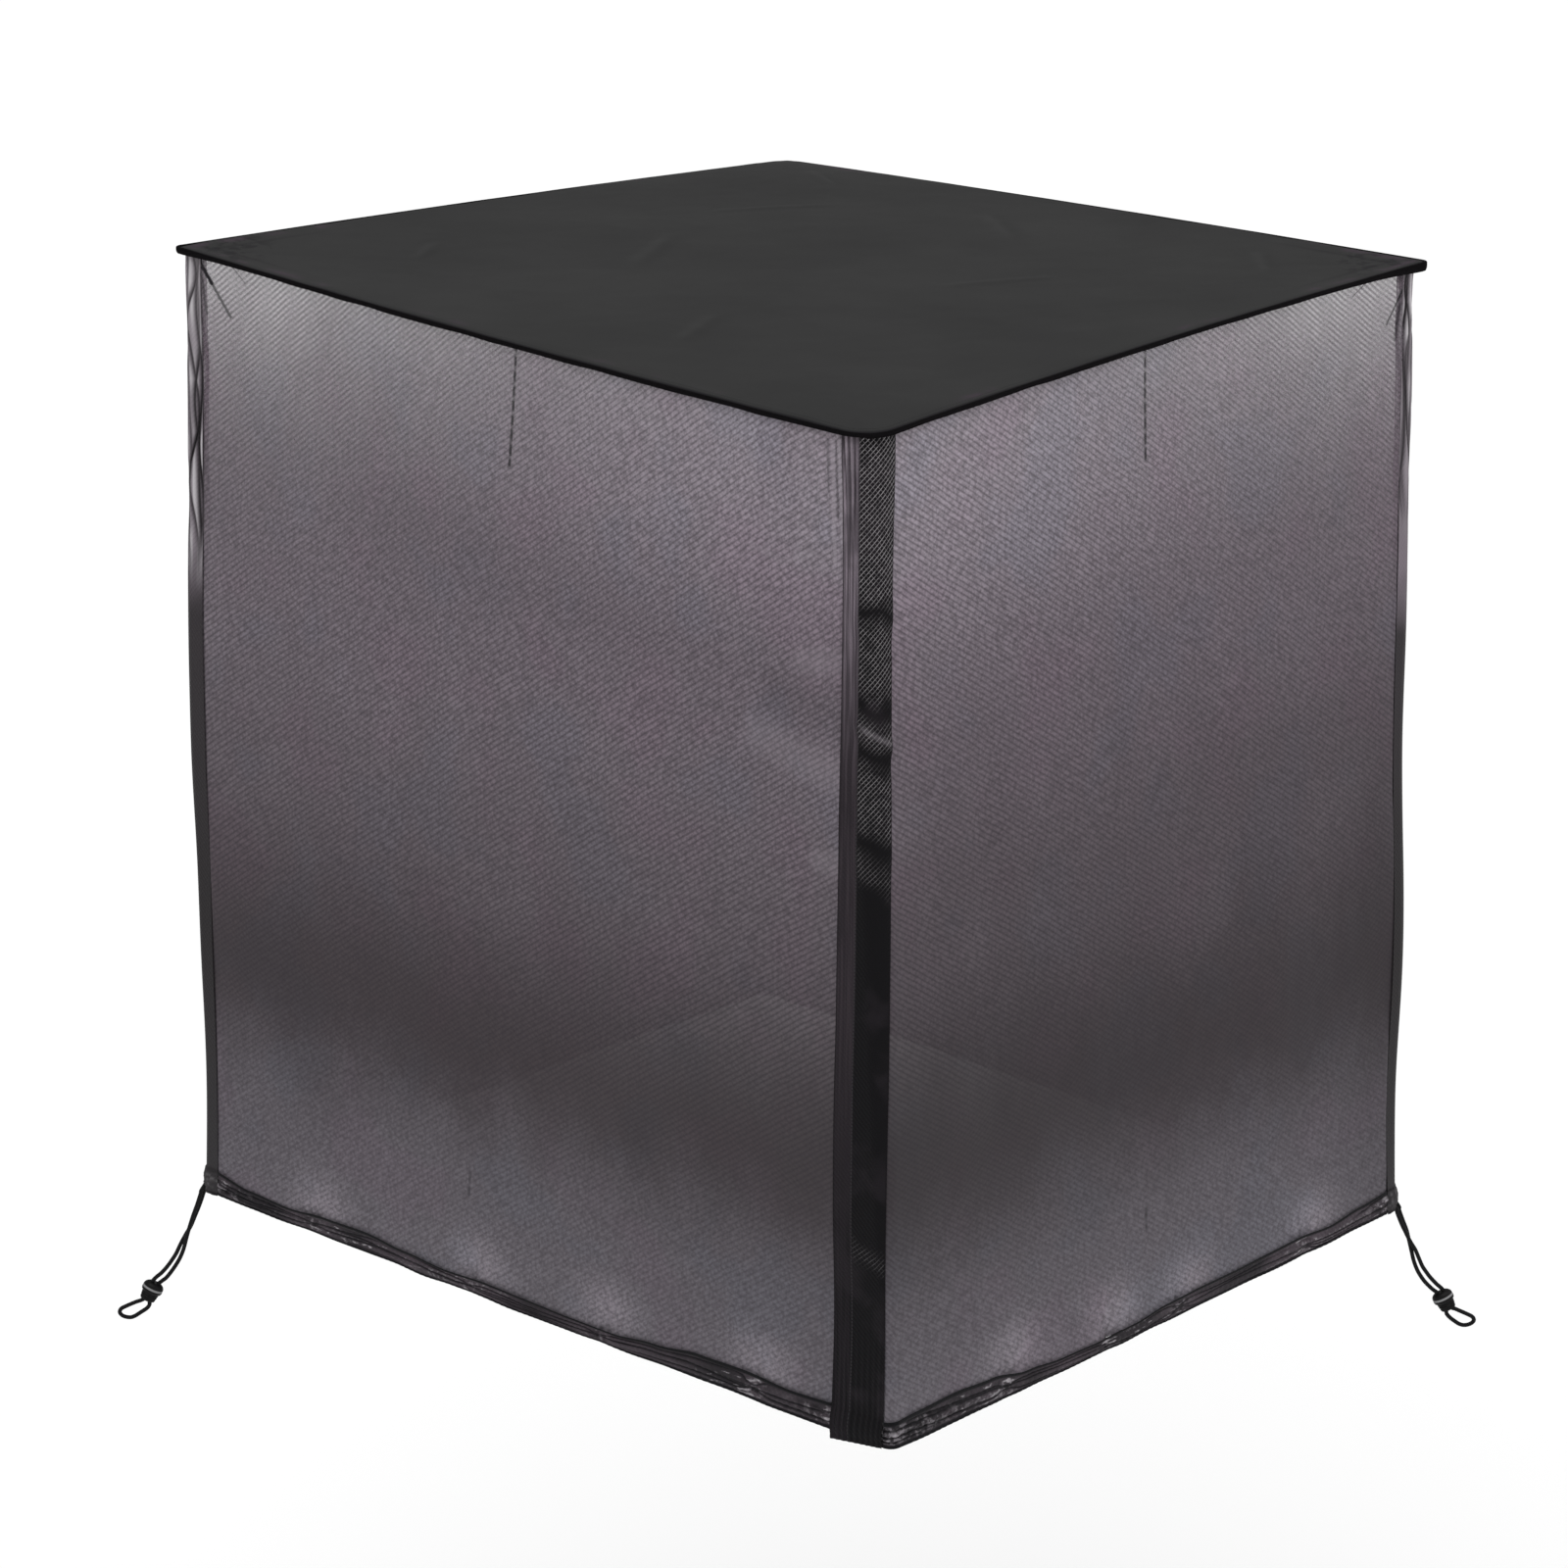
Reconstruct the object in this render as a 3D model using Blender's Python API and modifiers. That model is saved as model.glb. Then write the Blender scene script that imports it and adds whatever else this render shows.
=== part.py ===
"""Air conditioner cover: a solid cloth top, four net sides with a gathered drawcord hem, a doubled
net strip down each corner, and a drawcord with a cord lock at two opposite corners.

Metres, +Z up. The front side faces -Y. The origin is the middle of the top's underside.
Sides and corners run counter-clockwise seen from above, starting at the front left corner.
"""

import math

import bmesh
import bpy
from mathutils import Vector, noise

NAME = "air_conditioner_cover"

HEIGHT = 0.914
TOP_SHEET = 0.0016
NET_SHEET = 0.0013
STRIP_SHEET = 0.0020
HEM_THICK = 0.0062
GAP = 0.0006
WALL_INSET = 0.0042
WALL_TOP_DROP = 0.0030
BINDING_RADIUS = 0.0017
BINDING_DROP = 0.0055
BINDING_INSET = 0.0004
CORD_RADIUS = 0.0020
CORD_DROP = 0.0034
HOLE_RADIUS = 0.0024
HOLE_SPARE = 0.008
LOCK_HALF_GAP = 0.0032
LOCK_DEPTH = 0.68

# unevenness of the cloth: slow and finer billows of the net, how far it is drawn in above the hem
NET_BILLOW = 0.0060
NET_RIPPLE = 0.0028
DRAWN_IN = 0.0030
DRAWN_LEVEL = 0.14
DRAWN_SPREAD = 0.13
TOP_SWELL = 0.0022
TOP_CREASE = 0.0010
HEM_BULGE = 0.0034
HEM_LUMPS = 0.0022
STRIP_LIFT = 0.0006
STRIP_BULGE_SHARE = 0.8
STRIP_THICK_SHARE = 0.55
STRIP_ROWS = 14

# colours of the solids
CLOTH_COLOUR = (0.045, 0.045, 0.045)
BINDING_COLOUR = (0.008, 0.008, 0.008)
NET_COLOUR = (0.030, 0.027, 0.030)
STRIP_COLOUR = (0.012, 0.012, 0.013)
CORD_COLOUR = (0.006, 0.006, 0.006)
LOCK_COLOUR = (0.010, 0.010, 0.010)

# closer columns where the front net turns round its first corner at the foot
FRONT_LEAD = [0.0, 0.0022, 0.0046, 0.0072, 0.0100, 0.0130, 0.0165]

# name, top x, top y, top z, top radius, wall radius, foot x, foot y, foot radius
CORNERS = [
    ("front_left", -0.3959, -0.4422, -0.0078, 0.034, 0.032, -0.3585, -0.4395, 0.010),
    ("front_right", 0.3852, -0.4088, 0.0095, 0.008, 0.020, 0.3770, -0.4288, 0.014),
    ("back_right", 0.3842, 0.4001, -0.0072, 0.018, 0.022, 0.3720, 0.4230, 0.020),
    ("back_left", -0.3690, 0.4569, 0.0112, 0.006, 0.010, -0.3974, 0.4385, 0.012),
]

# side, sag of the top edge, outward bow of the top edge, outward bow of the foot, columns, rows
SIDES = [
    ("front", 0.0030, -0.0040, 0.0020, 24, 13),
    ("right", 0.0015, 0.0020, 0.0030, 14, 9),
    ("back", 0.0020, 0.0020, 0.0030, 14, 9),
    ("left", -0.0030, 0.0025, 0.0020, 24, 13),
]

# corner, top reach before and after the corner, foot reach before and after it, foot drop
STRIPS = [
    ("front_left", 0.0305, 0.0320, 0.0692, -0.0108, 0.0080),
    ("front_right", 0.0290, 0.0290, 0.0240, 0.0240, 0.0),
    ("back_right", 0.0300, 0.0300, 0.0300, 0.0300, 0.0),
    ("back_left", 0.0290, 0.0290, 0.0240, 0.0240, 0.0),
]

# side, hem heights in mm at even stations from the side's first corner to its last
HEM_HEIGHTS = [
    ("front", (25, 27, 28, 25, 17, 13, 12, 13, 17, 18, 18, 19, 20, 17, 21, 24)),
    ("right", (24, 20, 17, 15, 20, 24, 20, 16, 14, 18, 22, 24)),
    ("back", (24, 19, 16, 22, 25, 18, 14, 17, 20, 16, 19, 24)),
    ("left", (25, 18, 16, 20, 21, 17, 14, 16, 15, 14, 14, 19, 25, 26, 23, 25)),
]

# row of the hem as a share of its height, share of its bulge, share of its thickness
HEM_ROWS = [
    (0.00, 0.05, 0.36),
    (0.22, 0.75, 0.80),
    (0.55, 1.00, 1.00),
    (0.85, 0.60, 0.70),
    (1.05, -0.25, 0.26),
]

# ring of the top as a share of the way out, drop of the ring in metres
TOP_RINGS = [
    (1.0, 0.0034),
    (0.991, 0.0011),
    (0.975, 0.0001),
    (0.93, 0.0),
    (0.82, 0.0),
    (0.64, 0.0),
    (0.42, 0.0),
    (0.2, 0.0),
]

# cord routes in mm: outwards, down, half the gap between the strands, turn of the pair in degrees
LEFT_PAIR = [
    (-0.5, -2.5, 2.25, 55),
    (0.0, 0.0, 2.25, 55),
    (3.9, 11.5, 2.25, 58),
    (8.6, 23.6, 2.25, 64),
    (12.9, 35.1, 2.25, 78),
    (17.4, 45.6, 2.25, 112),
    (21.4, 55.6, 2.35, 155),
    (25.2, 64.7, 2.6, 180),
    (29.5, 72.2, 2.9, 180),
    (34.6, 79.7, 3.1, 180),
    (40.3, 86.7, 3.4, 180),
    (45.4, 91.0, 3.3, 180),
]
LEFT_LOCK = [(49.0, 94.7), (58.2, 112.8)]
LEFT_LOOP = [
    (63.6, 113.4),
    (69.6, 115.6),
    (78.0, 119.4),
    (83.6, 122.5),
    (85.3, 126.4),
    (82.3, 130.2),
    (76.2, 131.8),
    (71.0, 130.5),
    (64.2, 126.0),
    (58.8, 122.2),
    (55.9, 118.4),
]
RIGHT_PAIR = [
    (0.0, -2.5, 2.25, 55),
    (0.0, 0.0, 2.25, 55),
    (4.5, 11.9, 2.25, 60),
    (8.8, 21.8, 2.25, 72),
    (12.4, 31.5, 2.25, 100),
    (16.3, 41.0, 2.3, 145),
    (19.5, 50.6, 2.7, 180),
    (22.9, 59.1, 3.0, 180),
    (26.6, 65.5, 3.3, 180),
    (31.2, 72.0, 3.4, 180),
    (37.6, 78.9, 3.3, 180),
    (41.0, 81.9, 3.2, 180),
]
RIGHT_LOCK = [(44.0, 84.9), (53.2, 103.0)]
RIGHT_LOOP = [
    (59.2, 103.0),
    (64.4, 105.4),
    (71.4, 108.7),
    (76.4, 111.6),
    (78.0, 115.2),
    (75.3, 118.6),
    (69.8, 120.3),
    (64.6, 119.4),
    (59.6, 116.2),
    (54.8, 112.4),
    (51.4, 108.4),
]

# cord, corner index, start x and y, outward direction x and y, pair, lock, loop
CORDS = [
    ("left", 3, -0.3964, 0.4377, -0.6934, 0.7206, LEFT_PAIR, LEFT_LOCK, LEFT_LOOP),
    ("right", 1, 0.3744, -0.4262, 0.6934, -0.7206, RIGHT_PAIR, RIGHT_LOCK, RIGHT_LOOP),
]

# distance along the lock in mm, half width in mm
LOCK_PROFILE = [
    (0.0, 7.2),
    (1.6, 8.7),
    (4.4, 10.2),
    (8.6, 10.4),
    (10.8, 9.6),
    (11.8, 8.1),
    (13.0, 8.5),
    (14.2, 7.7),
    (15.4, 8.2),
    (16.6, 7.5),
    (18.6, 7.7),
    (20.3, 6.7),
]
LOCK_SIDES = 16


def clear_scene():
    for thing in list(bpy.data.objects):
        bpy.data.objects.remove(thing, do_unlink=True)
    for group in list(bpy.data.collections):
        bpy.data.collections.remove(group)


def material(name, colour, roughness, metallic=0.0):
    made = bpy.data.materials.new(name)
    made.use_nodes = True
    shader = made.node_tree.nodes["Principled BSDF"]
    shader.inputs["Base Color"].default_value = (*colour, 1.0)
    shader.inputs["Roughness"].default_value = roughness
    shader.inputs["Metallic"].default_value = metallic
    return made


def add_mesh(name, points, faces, group, colour, roughness=0.9):
    data = bpy.data.meshes.new(name)
    data.from_pydata([tuple(p) for p in points], [], faces)
    data.update()
    thing = bpy.data.objects.new(name, data)
    group.objects.link(thing)
    thing.data.materials.append(material(name, colour, roughness))
    return thing


def solidify(thing, thickness, shares=None):
    """Gives the sheet its thickness about its middle, scaled at each vertex by shares."""
    sheet = thing.modifiers.new("sheet", "SOLIDIFY")
    sheet.offset = 0.0
    sheet.thickness = thickness
    if shares is not None:
        weights = thing.vertex_groups.new(name="thickness")
        for index, share in enumerate(shares):
            weights.add([index], share, "REPLACE")
        sheet.vertex_group = "thickness"
        sheet.thickness_vertex_group = 0.0
    return sheet


def mix(a, b, share):
    return a + (b - a) * share


def smooth(value, low, high):
    t = min(max((value - low) / (high - low), 0.0), 1.0)
    return t * t * (3.0 - 2.0 * t)


def ring_point(corners, radii, index, reach):
    """Point and outward normal of the rounded outline, at a signed distance from one sharp corner."""
    corner = corners[index]
    before = (corner - corners[index - 1]).normalized()
    after = (corners[(index + 1) % 4] - corner).normalized()
    radius = radii[index]
    if reach <= -radius:
        return corner + before * reach, Vector((before.y, -before.x))
    if reach >= radius:
        return corner + after * reach, Vector((after.y, -after.x))
    share = (reach / radius + 1.0) / 2.0
    start = corner - before * radius
    end = corner + after * radius
    pull = math.cos(before.angle(after) / 2.0)
    low = (1.0 - share) ** 2
    middle = 2.0 * pull * share * (1.0 - share)
    high = share**2
    point = (start * low + corner * middle + end * high) / (low + middle + high)
    tangent = before.lerp(after, share).normalized()
    return point, Vector((tangent.y, -tangent.x))


def top_outline_data():
    corners = [Vector((row[1], row[2])) for row in CORNERS]
    radii = [row[4] for row in CORNERS]
    return corners, radii


def outline_place(index, reach):
    """Which side a place on the outline belongs to, and how far along that side it is, 0 to 1."""
    corners, _ = top_outline_data()
    side = index if reach >= 0 else (index - 1) % 4
    length = (corners[(side + 1) % 4] - corners[side]).length
    along = reach / length if reach >= 0 else 1.0 + reach / length
    return side, along


def edge_height(index, reach):
    """Height of the top's edge: a straight run between its corners, with that side's sag."""
    side, along = outline_place(index, reach)
    level = mix(CORNERS[side][3], CORNERS[(side + 1) % 4][3], along)
    return level + SIDES[side][1] * 4.0 * along * (1.0 - along)


def edge_bow(index, reach, column):
    side, along = outline_place(index, reach)
    return SIDES[side][column] * 4.0 * along * (1.0 - along)


def top_outline(inset):
    """The top's outline as points with heights, moved inwards by inset."""
    corners, radii = top_outline_data()
    points = []
    for index in range(4):
        length = (corners[(index + 1) % 4] - corners[index]).length
        radius = radii[index]
        following = radii[(index + 1) % 4]
        reaches = [-radius * 0.45, 0.0, radius * 0.45, radius]
        straight = length - radius - following
        reaches += [radius + straight * step / 12.0 for step in range(1, 12)]
        reaches.append(length - following)
        for reach in reaches:
            point, normal = ring_point(corners, radii, index, reach)
            point = point + normal * (edge_bow(index, reach, 2) - inset)
            points.append(Vector((point.x, point.y, edge_height(index, reach))))
    return points


def top_sag(x, y):
    """Slow unevenness of the top, in metres."""
    slow = noise.noise(Vector((x * 3.1 + 4.0, y * 3.1 - 2.0, 0.7)))
    crease = math.exp(-(((x - 0.16) * 0.8 + (y - 0.05) * 0.6) / 0.05) ** 2)
    return TOP_SWELL * slow + TOP_CREASE * crease


def make_top(group):
    """A sheet of rings around its middle, with the last few millimetres rolled down at the edge."""
    outline = top_outline(0.0)
    points = []
    for share, drop in TOP_RINGS:
        inner = 1.0 - smooth(share, 0.86, 1.0)
        for place in outline:
            x = place.x * share
            y = place.y * share
            z = place.z * share**2 + top_sag(x, y) * inner - drop
            points.append((x, y, z + TOP_SHEET / 2.0))
    points.append((0.0, 0.0, top_sag(0.0, 0.0) + TOP_SHEET / 2.0))
    count = len(outline)
    faces = []
    for ring in range(len(TOP_RINGS) - 1):
        for step in range(count):
            following = (step + 1) % count
            outer = ring * count
            inner = outer + count
            faces.append((outer + step, outer + following, inner + following, inner + step))
    middle = len(points) - 1
    last = (len(TOP_RINGS) - 1) * count
    for step in range(count):
        faces.append((last + step, last + (step + 1) % count, middle))
    top = add_mesh("top_panel", points, faces, group, CLOTH_COLOUR)
    solidify(top, TOP_SHEET)
    return top


def make_binding(group):
    path = [p - Vector((0.0, 0.0, BINDING_DROP)) for p in top_outline(BINDING_INSET)]
    data = bpy.data.curves.new("top_binding", "CURVE")
    data.dimensions = "3D"
    data.bevel_depth = BINDING_RADIUS
    data.bevel_resolution = 1
    spline = data.splines.new("POLY")
    spline.points.add(len(path) - 1)
    for point, place in zip(spline.points, path):
        point.co = (*place, 1.0)
    spline.use_cyclic_u = True
    binding = bpy.data.objects.new("top_binding", data)
    group.objects.link(binding)
    data.materials.append(material("top_binding", BINDING_COLOUR, 0.8))
    return binding


def wall_corners(level):
    """Sharp corners and corner radii of the walls, level 0 at the foot and 1 under the top."""
    tops, _ = top_outline_data()
    corners = []
    radii = []
    for index, row in enumerate(CORNERS):
        inwards = Vector((1.0 if row[1] < 0 else -1.0, 1.0 if row[2] < 0 else -1.0))
        head = tops[index] + inwards * WALL_INSET
        foot = Vector((row[6], row[7]))
        corners.append(foot.lerp(head, level))
        radii.append(mix(row[8], row[5], level))
    return corners, radii


def wall_ease(point, level):
    """How far the net stands out from a flat wall: slow billows, drawn in above the hem."""
    x, y, z = point
    slow = noise.noise(Vector((x * 3.4 + 1.3, y * 3.4 + 8.1, z * 2.6)))
    finer = noise.noise(Vector((x * 8.0 - 3.0, y * 8.0, z * 5.0 + 2.0)))
    held = math.sin(math.pi * min(max(level, 0.0), 1.0)) ** 0.7
    drawn = DRAWN_IN * math.exp(-(((level - DRAWN_LEVEL) / DRAWN_SPREAD) ** 2))
    return (NET_BILLOW * slow + NET_RIPPLE * finer) * held - drawn


def wall_point(index, reach, level, low, out):
    """A point of the walls. low is how far the foot lies below its plane, out is an added offset."""
    corners, radii = wall_corners(level)
    flat, normal = ring_point(corners, radii, index, reach)
    head = edge_height(index, reach) - WALL_TOP_DROP
    z = mix(-HEIGHT - low, head, level)
    flat = flat + normal * mix(edge_bow(index, reach, 3), edge_bow(index, reach, 2), level)
    push = wall_ease((flat.x, flat.y, z), level) + out
    return Vector((flat.x + normal.x * push, flat.y + normal.y * push, z))


def hem_height(side, along):
    heights = HEM_HEIGHTS[side][1]
    place = min(max(along, 0.0), 1.0) * (len(heights) - 1)
    first = min(int(place), len(heights) - 2)
    share = smooth(place - first, 0.0, 1.0)
    return mix(heights[first], heights[first + 1], share) / 1000.0


def hem_bulge(side, along):
    """Outward bulge of the gathered casing, uneven along the side."""
    lumps = noise.noise(Vector((along * 11.0 + side * 7.3, 0.4, 2.0)))
    return HEM_BULGE + HEM_LUMPS * lumps


def grid_faces(columns, rows):
    faces = []
    for column in range(columns):
        for row in range(rows):
            first = column * (rows + 1) + row
            following = first + rows + 1
            faces.append((first, following, following + 1, first + 1))
    return faces


def wall_rows(upper):
    """Row table: share of the hem height, or None above the hem, then level, bulge, thickness."""
    rows = [(share, None, bulge, thick) for share, bulge, thick in HEM_ROWS]
    for step in range(1, upper + 1):
        rows.append((None, step / upper, 0.0, None))
    return rows


def strip_reach(index, level):
    row = STRIPS[index]
    return mix(row[3], row[1], level), mix(row[4], row[2], level)


def side_stations(index, columns):
    """Columns of a side as a distance past its first strip and a share of what is left."""
    leads = FRONT_LEAD if index == 0 else [0.0]
    stations = [(lead, 0.0) for lead in leads]
    for column in range(1, columns + 1):
        share = column / columns
        share = mix(share, 0.5 - 0.5 * math.cos(math.pi * share), 0.45)
        stations.append((leads[-1], share))
    return stations


def make_side(index, group):
    """The net between two corner strips, with its gathered hem."""
    name, _, _, _, columns, upper = SIDES[index]
    following = (index + 1) % 4
    rows = wall_rows(upper)
    points = []
    shares = []
    stations = side_stations(index, columns)
    for lead, share in stations:
        for row in rows:
            level = row_level(index, share, row)
            first = strip_reach(index, level)[1] + GAP + lead
            last = strip_reach(following, level)[0] + GAP
            corners, _ = wall_corners(level)
            span = (corners[following] - corners[index]).length
            reach = mix(first, span - last, share)
            if reach < span / 2.0:
                place = (index, reach)
            else:
                place = (following, reach - span)
            point, thick = row_point(place, index, share, row)
            points.append(point)
            shares.append(thick)
    faces = grid_faces(len(stations) - 1, len(rows) - 1)
    thing = add_mesh(f"side_{name}", points, faces, group, NET_COLOUR)
    solidify(thing, HEM_THICK, shares)
    return thing


def row_level(side, along, row):
    height = hem_height(side, along)
    share, step = row[0], row[1]
    if step is None:
        return height * share / HEIGHT
    return mix(height * HEM_ROWS[-1][0] / HEIGHT, 1.0, step)


def row_point(place, side, along, row):
    """A point of a side's net and its share of the hem's thickness."""
    level = row_level(side, along, row)
    bulge = hem_bulge(side, along) * row[2]
    thick = NET_SHEET / HEM_THICK if row[3] is None else max(row[3], NET_SHEET / HEM_THICK)
    return wall_point(place[0], place[1], level, 0.0, bulge), thick


def make_strip(index, group):
    """A doubled net strip wrapped round one corner, from the top's edge to the foot."""
    name, _, _, _, _, drop = STRIPS[index]
    columns = 10 if index == 0 else 6
    rows = wall_rows(STRIP_ROWS)
    points = []
    shares = []
    for column in range(columns + 1):
        share = column / columns
        for row in rows:
            level = row_level(index, 0.0, row)
            before, after = strip_reach(index, level)
            reach = mix(-before, after, share)
            low = drop * (1.0 - share) * (1.0 - smooth(level, 0.0, 0.05))
            out = STRIP_LIFT + row[2] * hem_bulge(index, 0.0) * STRIP_BULGE_SHARE
            points.append(wall_point(index, reach, level, low, out))
            thick = STRIP_SHEET / HEM_THICK
            if row[3] is not None:
                thick = max(row[3] * STRIP_THICK_SHARE, thick)
            shares.append(thick)
    faces = grid_faces(columns, len(rows) - 1)
    thing = add_mesh(f"corner_{name}", points, faces, group, STRIP_COLOUR)
    solidify(thing, HEM_THICK, shares)
    return thing


def spline_through(route, steps):
    """Points of a smooth curve through the route, steps to each stretch."""
    points = []
    for index in range(len(route) - 1):
        a = route[max(index - 1, 0)]
        b = route[index]
        c = route[index + 1]
        d = route[min(index + 2, len(route) - 1)]
        for step in range(steps):
            t = step / steps
            along = (c - a) * 0.5
            ahead = (d - b) * 0.5
            cube = t**3
            square = t**2
            point = b * (2 * cube - 3 * square + 1) + along * (cube - 2 * square + t)
            point = point + c * (3 * square - 2 * cube) + ahead * (cube - square)
            points.append(point)
    points.append(route[-1])
    return points


def cord_frame(row):
    """Maps outwards, down and sideways in mm to a point of the model."""
    start = Vector((row[2], row[3], -HEIGHT - CORD_DROP))
    outwards = Vector((row[4], row[5], 0.0))
    sideways = Vector((-row[5], row[4], 0.0))

    def place(out, down, side=0.0):
        offset = outwards * out - Vector((0.0, 0.0, down)) + sideways * side
        return start + offset / 1000.0

    return place


def pair_strand(pair, lock, sign):
    """One strand of the doubled cord as outwards, down, sideways, from the hem to the lock."""
    middles = [Vector((row[0], row[1])) for row in pair] + [Vector(lock[0])]
    strand = []
    for index, row in enumerate(pair):
        ahead = middles[index + 1]
        behind = middles[max(index - 1, 0)]
        along = (ahead - behind).normalized()
        across = Vector((along.y, -along.x))
        turn = math.radians(row[3])
        shift = across * (row[2] * math.cos(turn) * sign)
        depth = row[2] * math.sin(turn) * sign
        strand.append((row[0] + shift.x, row[1] + shift.y, depth))
    return strand


def lock_ends(lock, side):
    """Where one strand enters and leaves the lock, side 1 for the outer hole and -1 for the inner."""
    first = Vector(lock[0])
    last = Vector(lock[1])
    along = (last - first).normalized()
    across = Vector((along.y, -along.x)) * LOCK_HALF_GAP * 1000.0 * side
    return [first + across, first.lerp(last, 0.5) + across, last + across]


def cord_route(row):
    """The whole cord as one open route: down one strand, round the end loop and back up the other."""
    pair, lock, loop = row[6], row[7], row[8]
    place = cord_frame(row)
    down = [place(*p) for p in pair_strand(pair, lock, -1)]
    down += [place(p.x, p.y) for p in lock_ends(lock, 1)]
    tip = [place(*p) for p in loop]
    back = [place(p.x, p.y) for p in reversed(lock_ends(lock, -1))]
    back += [place(*p) for p in reversed(pair_strand(pair, lock, 1))]
    return down + tip + back


def make_cord(row, group):
    path = spline_through(cord_route(row), 2)
    name = f"drawcord_{row[0]}"
    data = bpy.data.curves.new(name, "CURVE")
    data.dimensions = "3D"
    data.bevel_depth = CORD_RADIUS
    data.bevel_resolution = 2
    data.use_fill_caps = True
    spline = data.splines.new("POLY")
    spline.points.add(len(path) - 1)
    for point, where in zip(spline.points, path):
        point.co = (*where, 1.0)
    cord = bpy.data.objects.new(name, data)
    group.objects.link(cord)
    data.materials.append(material(name, CORD_COLOUR, 0.85))
    return cord


def make_lock(row, group, cutters):
    """A barrel with a rounded head, a ribbed tail and two holes that the cord runs through."""
    place = cord_frame(row)
    head = place(*row[7][0])
    tail = place(*row[7][1])
    along = (tail - head).normalized()
    depth = Vector((-row[5], row[4], 0.0))
    across = along.cross(depth).normalized()
    points = []
    for distance, half in LOCK_PROFILE:
        centre = head + along * distance / 1000.0
        for step in range(LOCK_SIDES):
            turn = 2.0 * math.pi * step / LOCK_SIDES
            wide = across * math.cos(turn) * half
            deep = depth * math.sin(turn) * half * LOCK_DEPTH
            points.append(centre + (wide + deep) / 1000.0)
    faces = []
    for ring in range(len(LOCK_PROFILE) - 1):
        for step in range(LOCK_SIDES):
            following = (step + 1) % LOCK_SIDES
            low = ring * LOCK_SIDES
            high = low + LOCK_SIDES
            faces.append((low + step, low + following, high + following, high + step))
    faces.append(tuple(reversed(range(LOCK_SIDES))))
    last = (len(LOCK_PROFILE) - 1) * LOCK_SIDES
    faces.append(tuple(range(last, last + LOCK_SIDES)))
    name = f"cord_lock_{row[0]}"
    lock = add_mesh(name, points, faces, group, LOCK_COLOUR, 0.4)
    face_outwards(lock)
    for side in (1, -1):
        shift = across * LOCK_HALF_GAP * side
        cutter = rod(f"{name}_hole_{side + 2}", head + shift, along, tail - head, cutters)
        cut = lock.modifiers.new("hole", "BOOLEAN")
        cut.operation = "DIFFERENCE"
        cut.solver = "EXACT"
        cut.object = cutter
    return lock


def rod(name, start, along, span, group):
    """A cutter rod, longer than the piece at both ends."""
    data = bpy.data.meshes.new(name)
    form = bmesh.new()
    length = span.length + HOLE_SPARE
    bmesh.ops.create_cone(
        form,
        cap_ends=True,
        segments=12,
        radius1=HOLE_RADIUS,
        radius2=HOLE_RADIUS,
        depth=length,
    )
    form.to_mesh(data)
    form.free()
    thing = bpy.data.objects.new(name, data)
    thing.rotation_mode = "QUATERNION"
    thing.rotation_quaternion = along.to_track_quat("Z", "Y")
    thing.location = start + along * span.length / 2.0
    thing.hide_render = True
    thing.display_type = "WIRE"
    group.objects.link(thing)
    return thing


def face_outwards(thing):
    form = bmesh.new()
    form.from_mesh(thing.data)
    bmesh.ops.recalc_face_normals(form, faces=form.faces)
    form.to_mesh(thing.data)
    form.free()


def main():
    clear_scene()
    group = bpy.data.collections.new(NAME)
    cutters = bpy.data.collections.new("cutters")
    cutters.hide_render = True
    bpy.context.scene.collection.children.link(group)
    bpy.context.scene.collection.children.link(cutters)
    make_top(group)
    make_binding(group)
    for index in range(4):
        make_side(index, group)
        make_strip(index, group)
    for row in CORDS:
        make_cord(row, group)
        make_lock(row, group, cutters)


main()
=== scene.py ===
"""Looks of the air conditioner cover: fine cloth, net, gathered hem, cords and cord locks.

Metres, +Z up. The front side faces -Y. The origin is the middle of the top's underside.
Sides and corners run counter-clockwise seen from above, starting at the front left corner.
"""

import functools
import math

import bmesh
import bpy
import numpy as np
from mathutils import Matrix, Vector, noise

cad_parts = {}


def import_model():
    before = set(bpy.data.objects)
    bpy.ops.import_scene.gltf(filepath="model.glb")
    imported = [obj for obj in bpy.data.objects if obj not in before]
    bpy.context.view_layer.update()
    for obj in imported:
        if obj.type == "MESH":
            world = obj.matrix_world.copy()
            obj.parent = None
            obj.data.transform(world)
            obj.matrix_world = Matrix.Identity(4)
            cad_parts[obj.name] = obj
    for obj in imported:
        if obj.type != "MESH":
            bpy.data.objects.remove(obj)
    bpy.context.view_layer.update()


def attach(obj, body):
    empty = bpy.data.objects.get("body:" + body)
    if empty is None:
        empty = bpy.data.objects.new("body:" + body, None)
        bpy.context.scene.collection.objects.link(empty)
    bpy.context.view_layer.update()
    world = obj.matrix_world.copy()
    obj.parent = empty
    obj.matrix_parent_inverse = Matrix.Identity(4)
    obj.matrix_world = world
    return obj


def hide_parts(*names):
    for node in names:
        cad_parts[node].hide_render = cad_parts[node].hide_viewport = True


# Camera: place, tilt and turn in degrees, lens and sensor in mm
CAMERA_PLACE = (-3.24109, -3.08491, 0.97652)
CAMERA_TILT = 71.8155
CAMERA_TURN = -46.0959
CAMERA_LENS = 114.80
CAMERA_SENSOR = 36.0
FLOOR_Z = -2.8
FLOOR_HALF = 40.0
WORLD_STRENGTH = 0.64

# light, direction it comes from, angle it spreads over in degrees, strength
LIGHTS = [
    ("key", (-0.95, -0.75, 1.35), 30.0, 1.35),
    ("fill", (0.75, -1.0, 1.1), 50.0, 0.65),
]

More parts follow.
